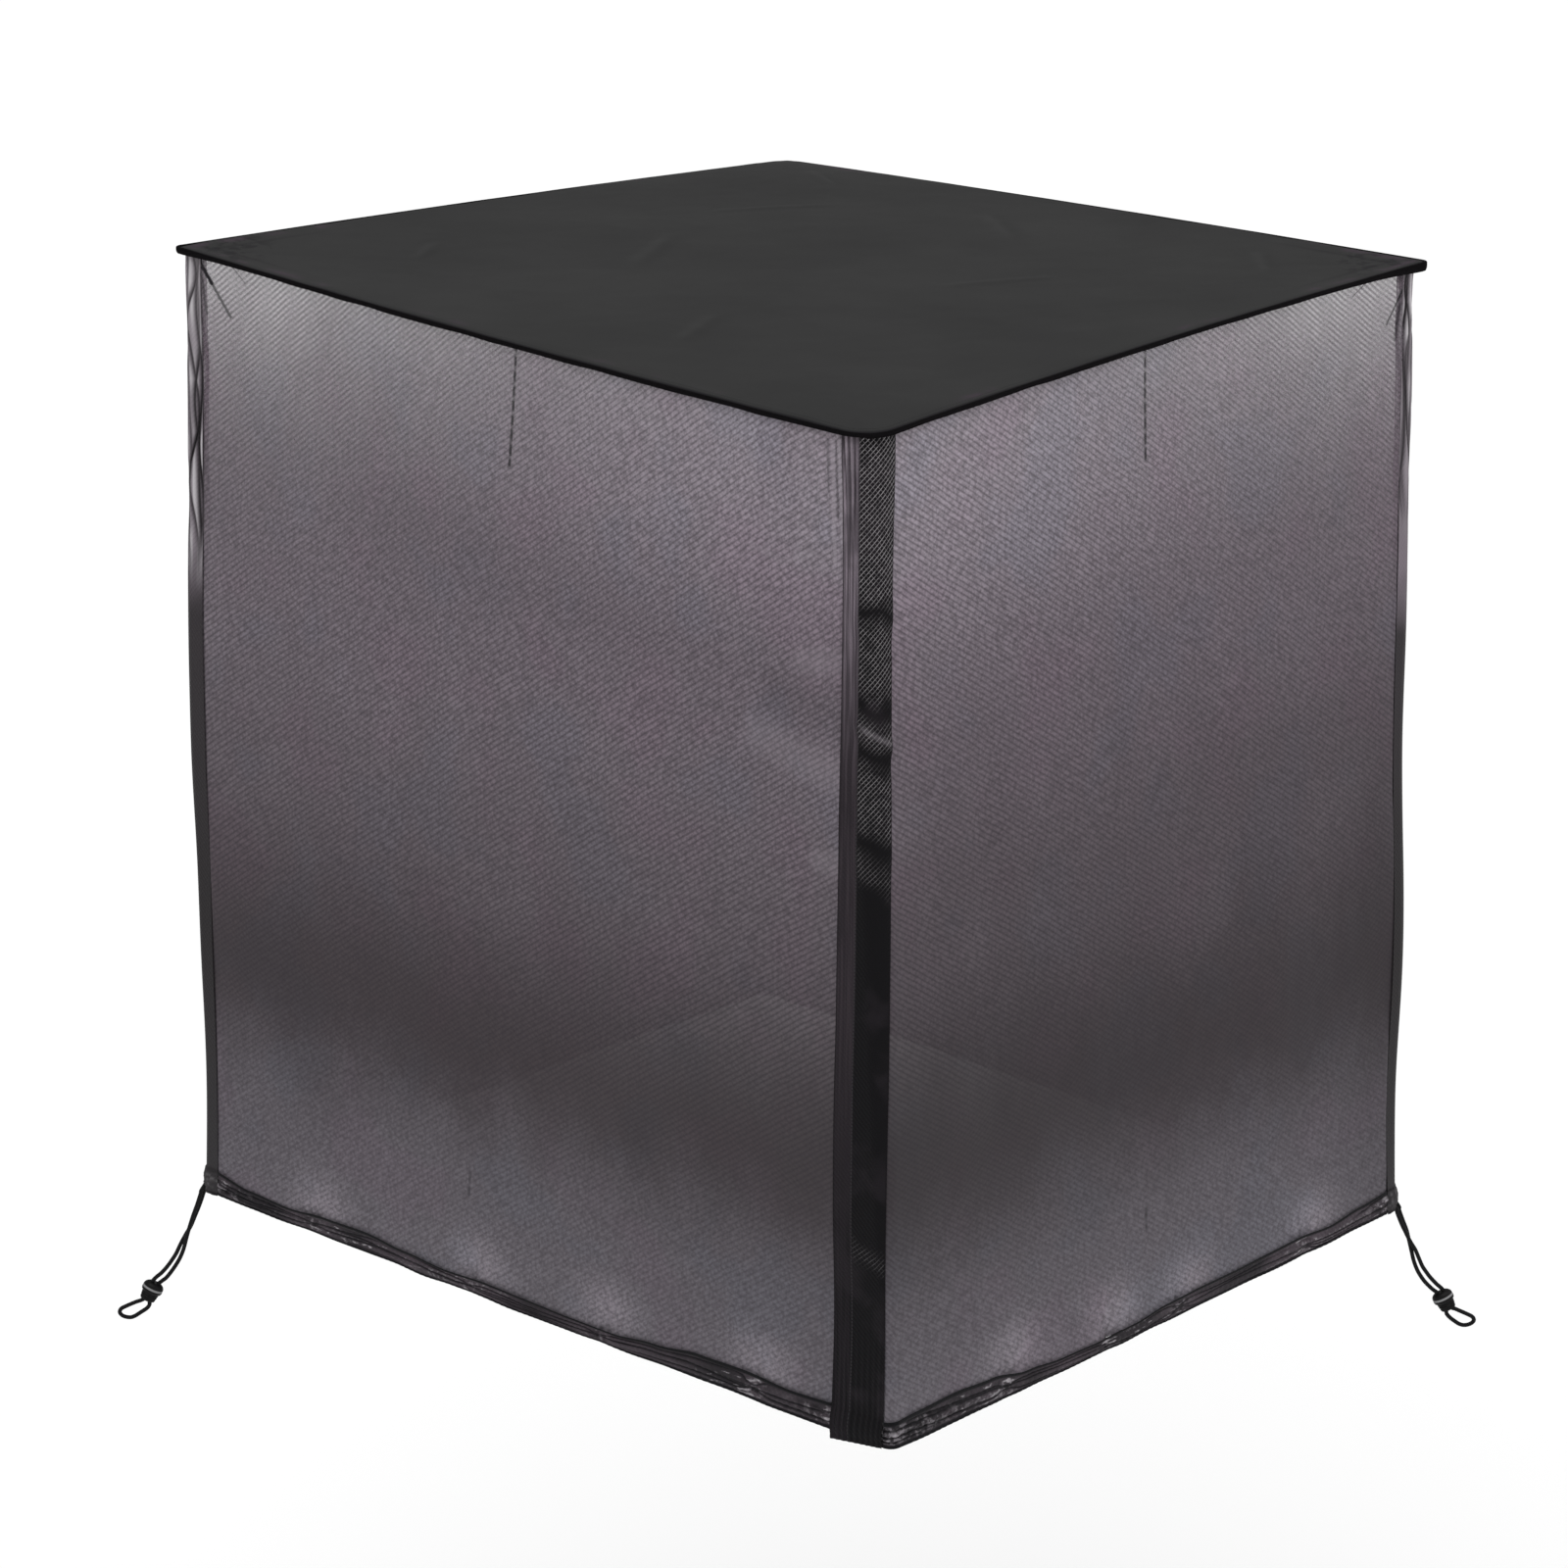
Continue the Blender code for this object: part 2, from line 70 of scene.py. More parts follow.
# The part's own driving sizes, as its solids have them
HEIGHT = 0.914
TOP_SHEET = 0.0016
WALL_INSET = 0.0042
WALL_TOP_DROP = 0.0030
NET_BILLOW = 0.0060
NET_RIPPLE = 0.0028
DRAWN_IN = 0.0030
DRAWN_LEVEL = 0.14
DRAWN_SPREAD = 0.13
TOP_SWELL = 0.0022
TOP_CREASE = 0.0010
CORD_RADIUS = 0.0020
CORD_DROP = 0.0034
HOLE_RADIUS = 0.0024
HOLE_SPARE = 0.008
LOCK_HALF_GAP = 0.0032
LOCK_DEPTH = 0.68

# name, top x, top y, top z, top radius, wall radius, foot x, foot y, foot radius
CORNERS = [
    ("front_left", -0.3959, -0.4422, -0.0078, 0.034, 0.032, -0.3585, -0.4395, 0.010),
    ("front_right", 0.3852, -0.4088, 0.0095, 0.008, 0.020, 0.3770, -0.4288, 0.014),
    ("back_right", 0.3842, 0.4001, -0.0072, 0.018, 0.022, 0.3720, 0.4230, 0.020),
    ("back_left", -0.3690, 0.4569, 0.0112, 0.006, 0.010, -0.3974, 0.4385, 0.012),
]

# side, sag of the top edge, outward bow of the top edge, outward bow of the foot, columns, rows
SIDES = [
    ("front", 0.0030, -0.0040, 0.0020, 280, 190),
    ("right", 0.0015, 0.0020, 0.0030, 220, 150),
    ("back", 0.0020, 0.0020, 0.0030, 220, 150),
    ("left", -0.0030, 0.0025, 0.0020, 280, 190),
]

# corner, top reach before and after the corner, foot reach before and after it, foot drop
STRIPS = [
    ("front_left", 0.0305, 0.0320, 0.0692, -0.0108, 0.0080),
    ("front_right", 0.0290, 0.0290, 0.0240, 0.0240, 0.0),
    ("back_right", 0.0300, 0.0300, 0.0300, 0.0300, 0.0),
    ("back_left", 0.0290, 0.0290, 0.0240, 0.0240, 0.0),
]

# side, hem heights in mm at even stations from the side's first corner to its last
HEM_HEIGHTS = [
    ("front", (25, 27, 28, 25, 17, 13, 12, 13, 17, 18, 18, 19, 20, 17, 21, 24)),
    ("right", (24, 20, 17, 15, 20, 24, 20, 16, 14, 18, 22, 24)),
    ("back", (24, 19, 16, 22, 25, 18, 14, 17, 20, 16, 19, 24)),
    ("left", (25, 18, 16, 20, 21, 17, 14, 16, 15, 14, 14, 19, 25, 26, 23, 25)),
]

# cord routes in mm: outwards, down, half the gap between the strands, turn of the pair in degrees
LEFT_PAIR = [
    (-0.5, -2.5, 2.25, 55),
    (0.0, 0.0, 2.25, 55),
    (3.9, 11.5, 2.25, 58),
    (8.6, 23.6, 2.25, 64),
    (12.9, 35.1, 2.25, 78),
    (17.4, 45.6, 2.25, 112),
    (21.4, 55.6, 2.35, 155),
    (25.2, 64.7, 2.6, 180),
    (29.5, 72.2, 2.9, 180),
    (34.6, 79.7, 3.1, 180),
    (40.3, 86.7, 3.4, 180),
    (45.4, 91.0, 3.3, 180),
]
LEFT_LOCK = [(49.0, 94.7), (58.2, 112.8)]
LEFT_LOOP = [
    (63.6, 113.4),
    (69.6, 115.6),
    (78.0, 119.4),
    (83.6, 122.5),
    (85.3, 126.4),
    (82.3, 130.2),
    (76.2, 131.8),
    (71.0, 130.5),
    (64.2, 126.0),
    (58.8, 122.2),
    (55.9, 118.4),
]
RIGHT_PAIR = [
    (0.0, -2.5, 2.25, 55),
    (0.0, 0.0, 2.25, 55),
    (4.5, 11.9, 2.25, 60),
    (8.8, 21.8, 2.25, 72),
    (12.4, 31.5, 2.25, 100),
    (16.3, 41.0, 2.3, 145),
    (19.5, 50.6, 2.7, 180),
    (22.9, 59.1, 3.0, 180),
    (26.6, 65.5, 3.3, 180),
    (31.2, 72.0, 3.4, 180),
    (37.6, 78.9, 3.3, 180),
    (41.0, 81.9, 3.2, 180),
]
RIGHT_LOCK = [(44.0, 84.9), (53.2, 103.0)]
RIGHT_LOOP = [
    (59.2, 103.0),
    (64.4, 105.4),
    (71.4, 108.7),
    (76.4, 111.6),
    (78.0, 115.2),
    (75.3, 118.6),
    (69.8, 120.3),
    (64.6, 119.4),
    (59.6, 116.2),
    (54.8, 112.4),
    (51.4, 108.4),
]

# cord, corner index, start x and y, outward direction x and y, pair, lock, loop
CORDS = [
    ("left", 3, -0.3964, 0.4377, -0.6934, 0.7206, LEFT_PAIR, LEFT_LOCK, LEFT_LOOP),
    ("right", 1, 0.3744, -0.4262, 0.6934, -0.7206, RIGHT_PAIR, RIGHT_LOCK, RIGHT_LOOP),
]

# where the cords start inside the hem, as one more row of their pairs
CORD_SEAT = (-5.0, -10.0, 2.25, 55)

# Net: thread pitch in metres, slope and contrast of its lines, open share at the top and foot
NET_PITCH = 0.0056
NET_SLOPE = {"front": -0.68, "right": 0.68, "back": -0.68, "left": 0.68}
NET_TWILL = {"front": 0.36, "right": 0.18, "back": 0.18, "left": 0.36}
NET_WEFT = 0.08
NET_OPEN_TOP = 0.54
NET_OPEN_FOOT = 0.003
NET_OPEN_POWER = 4.4

# height above the foot as a share of the whole, colour of the net there: darkest about a quarter of the way
# up as painted shade, paler towards the top as painted light
NET_COLOURS_AND_PAINTED_LIGHT = [
    (0.00, (0.136, 0.125, 0.142)),
    (0.10, (0.120, 0.109, 0.124)),
    (0.28, (0.048, 0.039, 0.043)),
    (0.50, (0.100, 0.083, 0.095)),
    (0.75, (0.164, 0.136, 0.160)),
    (1.00, (0.250, 0.209, 0.247)),
]

# side, painted light at middle height, painted shade at low height
NET_PAINTED_LIGHT_AND_SHADE = {
    "front": (0.00, 0.26),
    "right": (0.10, 0.10),
    "back": (0.10, 0.10),
    "left": (0.15, 0.04),
}

# the same for the far strips: plain and dark below, paler up among the loops as painted light
FAR_STRIP_COLOURS_AND_PAINTED_LIGHT = [
    (0.00, (0.030, 0.028, 0.030)),
    (0.30, (0.022, 0.020, 0.021)),
    (0.62, (0.030, 0.026, 0.029)),
    (0.72, (0.180, 0.152, 0.177)),
    (1.00, (0.270, 0.236, 0.266)),
]

# Strips: pitch and slope of their threads, width of the near strip's flap, rise over the walls
STRIP_PITCH = 0.0050
STRIP_SLOPE = -0.9
STRIP_FLAP = 0.020
STRIP_RISE = 0.0007

# far strip's corner index, height where its looped creases begin, strength of its creases
FAR_STRIPS = {
    1: (0.655, 1.00),
    2: (0.655, 0.25),
    3: (0.595, 1.00),
}

# middle and swing in metres, swings per metre and phase of the creases that loop down the far strips
LOOPS = [
    (0.0060, 0.0032, 6.3, 0.4),
    (0.0200, 0.0045, 5.1, 2.1),
    (0.0130, 0.0085, 6.7, 4.0),
    (0.0240, 0.0030, 8.3, 1.0),
]

# heights in metres between which the near strip's openings show, and how clearly; between them the strip is
# left dark as painted shade of its buckles
STRIP_WINDOWS = [
    (0.766, 0.920, 1.00),
    (0.686, 0.748, 0.80),
    (0.640, 0.664, 0.75),
    (0.562, 0.620, 0.70),
    (0.520, 0.538, 0.40),
    (0.168, 0.180, 0.15),
]

# creases drawn on the nets as painted shade and painted highlights: start distance and height, end distance
# and height, half width, strength
PAINTED_CREASE_SHADE = {
    "left": [
        (0.026, 0.910, 0.046, 0.891, 0.0038, 1.00),
        (0.046, 0.891, 0.072, 0.865, 0.0028, 0.85),
        (0.030, 0.893, 0.037, 0.862, 0.0030, 0.70),
        (0.844, 0.905, 0.842, 0.862, 0.0030, 0.45),
        (0.852, 0.905, 0.850, 0.840, 0.0026, 0.45),
        (0.862, 0.905, 0.857, 0.720, 0.0022, 0.35),
        (0.770, 0.672, 0.850, 0.660, 0.0260, 0.15),
    ],
    "front": [
        (0.748, 0.902, 0.736, 0.888, 0.0038, 1.00),
        (0.736, 0.888, 0.718, 0.868, 0.0028, 0.85),
        (0.738, 0.882, 0.729, 0.852, 0.0030, 0.60),
    ],
    "right": [
        (0.046, 0.906, 0.080, 0.872, 0.0014, 0.80),
        (0.770, 0.900, 0.740, 0.868, 0.0014, 0.80),
    ],
    "back": [
        (0.046, 0.906, 0.080, 0.872, 0.0014, 0.80),
        (0.700, 0.902, 0.676, 0.872, 0.0014, 0.80),
    ],
}
PAINTED_CREASE_LIGHT = {
    "left": [
        (0.848, 0.905, 0.846, 0.800, 0.0022, 0.35),
        (0.857, 0.905, 0.853, 0.740, 0.0022, 0.40),
        (0.806, 0.706, 0.848, 0.716, 0.0190, 0.16),
        (0.750, 0.630, 0.846, 0.612, 0.0260, 0.14),
        (0.815, 0.532, 0.846, 0.538, 0.0160, 0.14),
        (0.752, 0.797, 0.786, 0.790, 0.0050, 0.14),
        (0.786, 0.790, 0.822, 0.804, 0.0050, 0.14),
    ],
}

# Sizes of the fine surface
NET_TUCK = 0.0025
NET_FOOT = 0.82
HEM_TUCK = 0.0060
HEM_COLUMNS = 430
HEM_OUTER_ROWS = 30
HEM_INNER_ROWS = 6
HEM_BULGE = 0.0040
STRIP_ROWS = 420
STRIP_COLUMNS = 60
TOP_STEPS = 190
TAPE_STEPS = 110
TAPE_SEAT = 0.0007
CORD_STEPS = 7
CORD_SIDES = 14
LOCK_SIDES = 40
# distance of the lock's painted highlight line from its head, in metres
LOCK_LINE = 0.0062

# Depths and pitches of the net's unevenness, its seam, and the ripples, dent and crease near the strip
NET_SLOW = 0.0009
NET_FINE = 0.0004
SEAM_DEPTH = 0.0011
SEAM_HALF = 0.004
RIPPLE_DEPTH = 0.0013
RIPPLE_PITCH = 0.0115
DENT_DEPTH = 0.0030
DENT_PLACE = (0.80, 0.668)
CREASE_DEPTH = 0.0012
CREASE_PLACE = (0.78, 0.800)
CORNER_CREASE = 0.0022
CORNER_CREASE_LOW = 0.0014
PUCKER_DEPTH = 0.0017
DIMPLE_DEPTH = 0.0016

# Depths and pitch of the hem's creases, crumples and knots, and the least height of its lip
HEM_VALLEY = 0.0017
HEM_CRUMPLE = 0.0014
HEM_FINE = 0.0007
HEM_KNOT = 0.0016
HEM_GATHER = 0.0002
HEM_GATHER_PITCH = 0.0071
HEM_LIP = 0.0022
HEM_WAVE = 0.0009
HEM_TUCKED_IN = -0.0012
INNER_DEPTH = -0.0010
INNER_MAP = 0.04

# Depths and pitch of the strips' folds and loops
STRIP_RIPPLE = 0.0007
STRIP_RIPPLE_PITCH = 0.0066
STRIP_SLOW = 0.0006
LOOP_DEPTH = 0.0018
LOOP_SLOW = 0.0010
LOOP_GLINT = 0.0006
LOOP_HALF = 0.0033
LOOP_FADE = 0.070
STRIP_CRUSH = 0.0012

# near strip's buckles: height above the foot, half width and depth in metres, and the slanted ones' slant
STRIP_SLANT = 0.45
LEVEL_BUCKLES = [
    (0.757, 0.014, 0.0009),
    (0.735, 0.014, -0.0007),
    (0.551, 0.014, 0.0006),
]
SLANTED_BUCKLES = [
    (0.672, 0.007, 0.0014),
    (0.655, 0.012, -0.0009),
]

# Top: unevenness, rolled edge's depth and width, ripple beside it, painted shade and light of its creases,
# crumpled tips where painted shade shows
TOP_SLOW = 0.0005
TOP_FINE = 0.0002
TOP_ROLL = 0.0020
TOP_ROLL_WIDTH = 0.0070
TOP_RIPPLE = 0.0006
TOP_CREASE_SHADE = 0.35
TIP_CORNERS = (1, 3)
TIP_REACH = (0.05, 0.22)

# Unevenness of the binding, and how near doubled points lie that are joined
TAPE_WAVE = 0.0003
TAPE_WELD = 0.00001
CORD_WELD = 0.000001

# Threads and ribs per metre, height of the tack above the foot, and pitch of the cord's braid
SEAM_GATHERS = 150.0
TACK_HEIGHT = 0.108
TOP_THREADS = 1400.0
TAPE_RIBS = 900.0
BRAID_PITCH = 0.0022

# hem's lengthwise creases as shares of its height: middle, wander, wander per metre, half width
HEM_CREASES = [
    (0.26, 0.08, 9.0, 0.035),
    (0.42, 0.12, 8.0, 0.035),
    (0.58, 0.14, 7.0, 0.040),
    (0.76, 0.10, 11.0, 0.035),
]

# where the hem is drawn in: distance from the side's first corner and height above the foot in metres
CINCHES = {
    "front": [(0.150, 0.024), (0.290, 0.016), (0.394, 0.012), (0.580, 0.014)],
    "right": [(0.200, 0.016), (0.470, 0.020), (0.660, 0.014)],
    "back": [(0.180, 0.016), (0.420, 0.018), (0.610, 0.014)],
    "left": [(0.159, 0.012), (0.370, 0.014), (0.534, 0.018), (0.720, 0.022)],
}

# side, distance from its first corner at the top, slant, height of its lower end above the foot
SEAMS = {
    "front": (0.367, 0.02, 0.815),
    "right": (0.400, -0.04, 0.820),
    "back": (0.372, 0.05, 0.818),
    "left": (0.466, 0.12, 0.806),
}


def mix(a, b, share):
    return a + (b - a) * share


def smooth(value, low, high):
    t = np.clip((value - low) / (high - low), 0.0, 1.0)
    return t * t * (3.0 - 2.0 * t)


def fade(value, low, high):
    return 1.0 - smooth(value, low, high)


def between(value, rise, fall):
    """1 between two slopes, each given by its start and its end, and 0 outside them."""
    return smooth(value, *rise) * fade(value, *fall)


def noise2(x, y, seed):
    """Smooth value noise from -1 to 1 over a plane of arrays."""
    column = np.floor(x).astype(np.int64)
    row = np.floor(y).astype(np.int64)
    across = x - column
    up = y - row
    across = across * across * (3.0 - 2.0 * across)
    up = up * up * (3.0 - 2.0 * up)

    def lattice(i, j):
        mixed = (i * 374761393 + j * 668265263 + seed * 974634777) & 0xFFFFFFFF
        mixed = ((mixed ^ (mixed >> 13)) * 1274126177) & 0xFFFFFFFF
        return ((mixed ^ (mixed >> 16)) & 0xFFFF) / 32767.5 - 1.0

    low = mix(lattice(column, row), lattice(column + 1, row), across)
    high = mix(lattice(column, row + 1), lattice(column + 1, row + 1), across)
    return mix(low, high, up)


def ridges(x, y, seed):
    """Sharp crests between soft hollows, 0 to 1, from two layers of noise."""
    first = 1.0 - np.abs(noise2(x, y, seed)) * 1.6
    second = 1.0 - np.abs(noise2(x * 1.9 + 7.3, y * 1.7, seed + 11)) * 1.6
    return np.clip(0.65 * first + 0.35 * second, 0.0, 1.0)


def hump(value, middle, half):
    return np.exp(-(((value - middle) / half) ** 2))


def ring_point(corners, radii, index, reach):
    """Point and outward normal of the rounded outline, at a signed distance from one sharp corner."""
    corner = corners[index]
    before = (corner - corners[index - 1]).normalized()
    after = (corners[(index + 1) % 4] - corner).normalized()
    radius = radii[index]
    if reach <= -radius:
        return corner + before * reach, Vector((before.y, -before.x))
    if reach >= radius:
        return corner + after * reach, Vector((after.y, -after.x))
    share = (reach / radius + 1.0) / 2.0
    start = corner - before * radius
    end = corner + after * radius
    pull = math.cos(before.angle(after) / 2.0)
    low = (1.0 - share) ** 2
    middle = 2.0 * pull * share * (1.0 - share)
    high = share**2
    point = (start * low + corner * middle + end * high) / (low + middle + high)
    tangent = before.lerp(after, share).normalized()
    return point, Vector((tangent.y, -tangent.x))


@functools.lru_cache(maxsize=None)
def top_outline_data():
    corners = [Vector((row[1], row[2])) for row in CORNERS]
    radii = [row[4] for row in CORNERS]
    return corners, radii


def outline_place(index, reach):
    """Which side a place on the outline belongs to, and how far along that side it is, 0 to 1."""
    corners, _ = top_outline_data()
    side = index if reach >= 0 else (index - 1) % 4
    length = (corners[(side + 1) % 4] - corners[side]).length
    along = reach / length if reach >= 0 else 1.0 + reach / length
    return side, along


def edge_height(index, reach):
    """Height of the top's edge: a straight run between its corners, with that side's sag."""
    side, along = outline_place(index, reach)
    level = mix(CORNERS[side][3], CORNERS[(side + 1) % 4][3], along)
    return level + SIDES[side][1] * 4.0 * along * (1.0 - along)


def edge_bow(index, reach, column):
    side, along = outline_place(index, reach)
    return SIDES[side][column] * 4.0 * along * (1.0 - along)


@functools.lru_cache(maxsize=None)
def wall_corners(level):
    """Sharp corners and corner radii of the walls, level 0 at the foot and 1 under the top."""
    tops, _ = top_outline_data()
    corners = []
    radii = []
    for index, row in enumerate(CORNERS):
        inwards = Vector((1.0 if row[1] < 0 else -1.0, 1.0 if row[2] < 0 else -1.0))
        head = tops[index] + inwards * WALL_INSET
        foot = Vector((row[6], row[7]))
        corners.append(foot.lerp(head, level))
        radii.append(mix(row[8], row[5], level))
    return corners, radii


def wall_ease(point, level):
    """How far the net stands out from a flat wall: slow billows, drawn in above the hem."""
    x, y, z = point
    slow = noise.noise(Vector((x * 3.4 + 1.3, y * 3.4 + 8.1, z * 2.6)))
    finer = noise.noise(Vector((x * 8.0 - 3.0, y * 8.0, z * 5.0 + 2.0)))
    held = math.sin(math.pi * min(max(level, 0.0), 1.0)) ** 0.7
    drawn = DRAWN_IN * math.exp(-(((level - DRAWN_LEVEL) / DRAWN_SPREAD) ** 2))
    return (NET_BILLOW * slow + NET_RIPPLE * finer) * held - drawn


def wall_place(index, reach, level, low=0.0):
    """A point of the walls and its outward normal. low is how far the foot lies below its plane."""
    corners, radii = wall_corners(level)
    flat, normal = ring_point(corners, radii, index, reach)
    head = edge_height(index, reach) - WALL_TOP_DROP
    z = mix(-HEIGHT - low, head, level)
    flat = flat + normal * mix(edge_bow(index, reach, 3), edge_bow(index, reach, 2), level)
    push = wall_ease((flat.x, flat.y, z), level)
    return (flat.x + normal.x * push, flat.y + normal.y * push, z), (normal.x, normal.y, 0.0)


def hem_height(side, along):
    heights = HEM_HEIGHTS[side][1]
    place = min(max(along, 0.0), 1.0) * (len(heights) - 1)
    first = min(int(place), len(heights) - 2)
    share = float(smooth(place - first, 0.0, 1.0))
    return mix(heights[first], heights[first + 1], share) / 1000.0


def strip_reach(index, level):
    row = STRIPS[index]
    return mix(row[3], row[1], level), mix(row[4], row[2], level)


def side_place(index, share, level, tuck):
    """Corner index and reach of a place on a side between its two strips, and its distance along."""
    following = (index + 1) % 4
    corners, _ = wall_corners(level)
    span = (corners[following] - corners[index]).length
    first = strip_reach(index, level)[1] - tuck
    last = strip_reach(following, level)[0] - tuck
    along = mix(first, span - last, share)
    if along < span / 2.0:
        return index, along, along
    return following, along - span, along


def add_object(name, data):
    thing = bpy.data.objects.new(name, data)
    bpy.context.scene.collection.objects.link(thing)
    return thing


def grid_object(name, points, maps, material, **values):
    """A smooth sheet from a grid of points, with a map in metres and named values at its points."""
    columns, rows = points.shape[:2]
    numbers = np.arange(columns * rows).reshape(columns, rows)
    around = [numbers[:-1, :-1], numbers[1:, :-1], numbers[1:, 1:], numbers[:-1, 1:]]
    faces = np.stack(around, axis=-1).reshape(-1, 4)
    data = bpy.data.meshes.new(name)
    data.from_pydata(points.reshape(-1, 3).tolist(), [], faces.tolist())
    layer = data.uv_layers.new(name="weave")
    corners = np.empty(len(data.loops), dtype=np.int32)
    data.loops.foreach_get("vertex_index", corners)
    layer.uv.foreach_set("vector", maps.reshape(-1, 2)[corners].astype(np.float32).ravel())
    for key, numbers_at in values.items():
        made = data.attributes.new(key, "FLOAT", "POINT")
        made.data.foreach_set("value", numbers_at.reshape(-1).astype(np.float32))
    data.shade_smooth()
    data.materials.append(material)
    return add_object(name, data)


def weld(data, distance, end_sides=0):
    """Joins a mesh's doubled points, closes its ends of so many sides, and turns its faces outwards."""
    form = bmesh.new()
    form.from_mesh(data)
    bmesh.ops.remove_doubles(form, verts=form.verts, dist=distance)
    if end_sides:
        rims = [edge for edge in form.edges if edge.is_boundary]
        bmesh.ops.holes_fill(form, edges=rims, sides=end_sides)
    bmesh.ops.recalc_face_normals(form, faces=form.faces)
    form.to_mesh(data)
    form.free()


# Shader helpers


class Value:
    """An output of a material's node, so that sums and products of outputs read plainly."""

    def __init__(self, shader, socket):
        self.shader = shader
        self.socket = socket

    def __add__(self, other):
        return self.shader.math("ADD", self, other)

    def __sub__(self, other):
        return self.shader.math("SUBTRACT", self, other)

    def __rsub__(self, other):
        return self.shader.math("SUBTRACT", other, self)

    def __mul__(self, other):
        return self.shader.math("MULTIPLY", self, other)

    def __truediv__(self, other):
        return self.shader.math("DIVIDE", self, other)

    def __abs__(self):
        return self.shader.math("ABSOLUTE", self)

    def clamped(self):
        return self.shader.math("ADD", self, 0.0, clamp=True)


class Shader:
    """A material with a Principled shader, and short ways to add nodes to it."""

    def __init__(self, name):
        self.material = bpy.data.materials.new(name)
        self.material.use_nodes = True
        self.tree = self.material.node_tree
        self.principled = self.tree.nodes["Principled BSDF"]

    def node(self, kind, **values):
        made = self.tree.nodes.new(kind)
        for key, value in values.items():
            setattr(made, key, value)
        return made

    def feed(self, socket, value):
        if isinstance(value, Value):
            self.tree.links.new(value.socket, socket)
        else:
            socket.default_value = value

    def feed_all(self, made, values, output=0):
        """Feeds a node's first inputs in turn, and gives its output."""
        for socket, value in zip(made.inputs, values):
            self.feed(socket, value)
        return Value(self, made.outputs[output])

    def math(self, operation, *values, clamp=False):
        made = self.node("ShaderNodeMath", operation=operation, use_clamp=clamp)
        return self.feed_all(made, values)

    def highest(self, first, *others):
        for other in others:
            first = self.math("MAXIMUM", first, other)
        return first

    def span(self, value, low, high, start=0.0, end=1.0):
        """Maps low..high smoothly to start..end."""
        made = self.node("ShaderNodeMapRange", interpolation_type="SMOOTHSTEP", clamp=True)
        return self.feed_all(made, (value, low, high, start, end))

    def blend(self, share, first, second, kind="MIX"):
        made = self.node("ShaderNodeMix", data_type="RGBA", blend_type=kind)
        self.feed(made.inputs[0], share)
        for socket, colour in ((made.inputs[6], first), (made.inputs[7], second)):
            self.feed(socket, (*colour, 1.0) if isinstance(colour, tuple) else colour)
        return Value(self, made.outputs[2])

    def layers(self, base, *rows):
        """Colours laid over a base in turn, each by its own share."""
        for share, colour, *kind in rows:
            base = self.blend(share, base, colour, *kind)
        return base

    def ramp(self, value, stops):
        """Colours along a value, from a table of places and colours."""
        made = self.node("ShaderNodeValToRGB")
        made.color_ramp.interpolation = "EASE"
        elements = made.color_ramp.elements
        elements.remove(elements[1])
        elements[0].color = (*stops[0][1], 1.0)
        for place, colour in stops[1:]:
            elements.new(place).color = (*colour, 1.0)
        return self.feed_all(made, (value,))

    def map(self):
        """The weave map's two coordinates, in metres."""
        source = self.node("ShaderNodeUVMap", uv_map="weave")
        parts = self.node("ShaderNodeSeparateXYZ")
        self.tree.links.new(source.outputs[0], parts.inputs[0])
        return Value(self, parts.outputs[0]), Value(self, parts.outputs[1])

    def place(self):
        return Value(self, self.node("ShaderNodeTexCoord").outputs["Object"])

    def vector(self, x, y):
        return self.feed_all(self.node("ShaderNodeCombineXYZ"), (x, y, 0.0))

    def noise(self, vector, scale, detail=3.0, roughness=0.55):
        made = self.node("ShaderNodeTexNoise")
        self.feed(made.inputs["Vector"], vector)
        made.inputs["Scale"].default_value = scale
        made.inputs["Detail"].default_value = detail
        made.inputs["Roughness"].default_value = roughness
        return Value(self, made.outputs[0])

    def attribute(self, name):
        made = self.node("ShaderNodeAttribute", attribute_name=name)
        return Value(self, made.outputs["Fac"])

    def bump(self, height, distance, strength):
        made = self.node("ShaderNodeBump")
        made.inputs["Distance"].default_value = distance
        made.inputs["Strength"].default_value = strength
        self.feed(made.inputs["Height"], height)
        return Value(self, made.outputs[0])

    def finish(self, **values):
        """Sets the Principled shader's inputs and gives the material."""
        for key, value in values.items():
            self.feed(self.principled.inputs[key.replace("_", " ")], value)
        return self.material

    def crease(self, u, v, row):
        """Strength along a short straight crease, fading to 0 at its half width."""
        start_u, start_v, end_u, end_v, half, strength = row
        run_u = end_u - start_u
        run_v = end_v - start_v
        square = run_u**2 + run_v**2
        from_u = u - start_u
        from_v = v - start_v
        share = (from_u * (run_u / square) + from_v * (run_v / square)).clamped()
        away_u = from_u - share * run_u
        away_v = from_v - share * run_v
        distance = self.math("SQRT", away_u * away_u + away_v * away_v)
        return self.span(distance, half * 0.25, half, strength, 0.0)

    def creases(self, u, v, rows):
        return self.highest(0.0, *[self.crease(u, v, row) for row in rows])

    def stitches(self, across, along, pitch, half):
        """A row of short stitches where across is 0."""
        phase = self.math("FRACT", along / pitch)
        dash = self.span(abs(phase - 0.5), 0.28, 0.36, 1.0, 0.0)
        return dash * self.span(abs(across), half * 0.5, half, 1.0, 0.0)

    def lattice(self, u, v, pitch, slope=1.0):
        """How near a place is to each family of slanting threads, 0 in a hole to 0.5 on a thread."""
        near = []
        for lean in (-slope, slope):
            phase = self.math("FRACT", (u * lean + v) / pitch)
            near.append(abs(phase - 0.5))
        return near


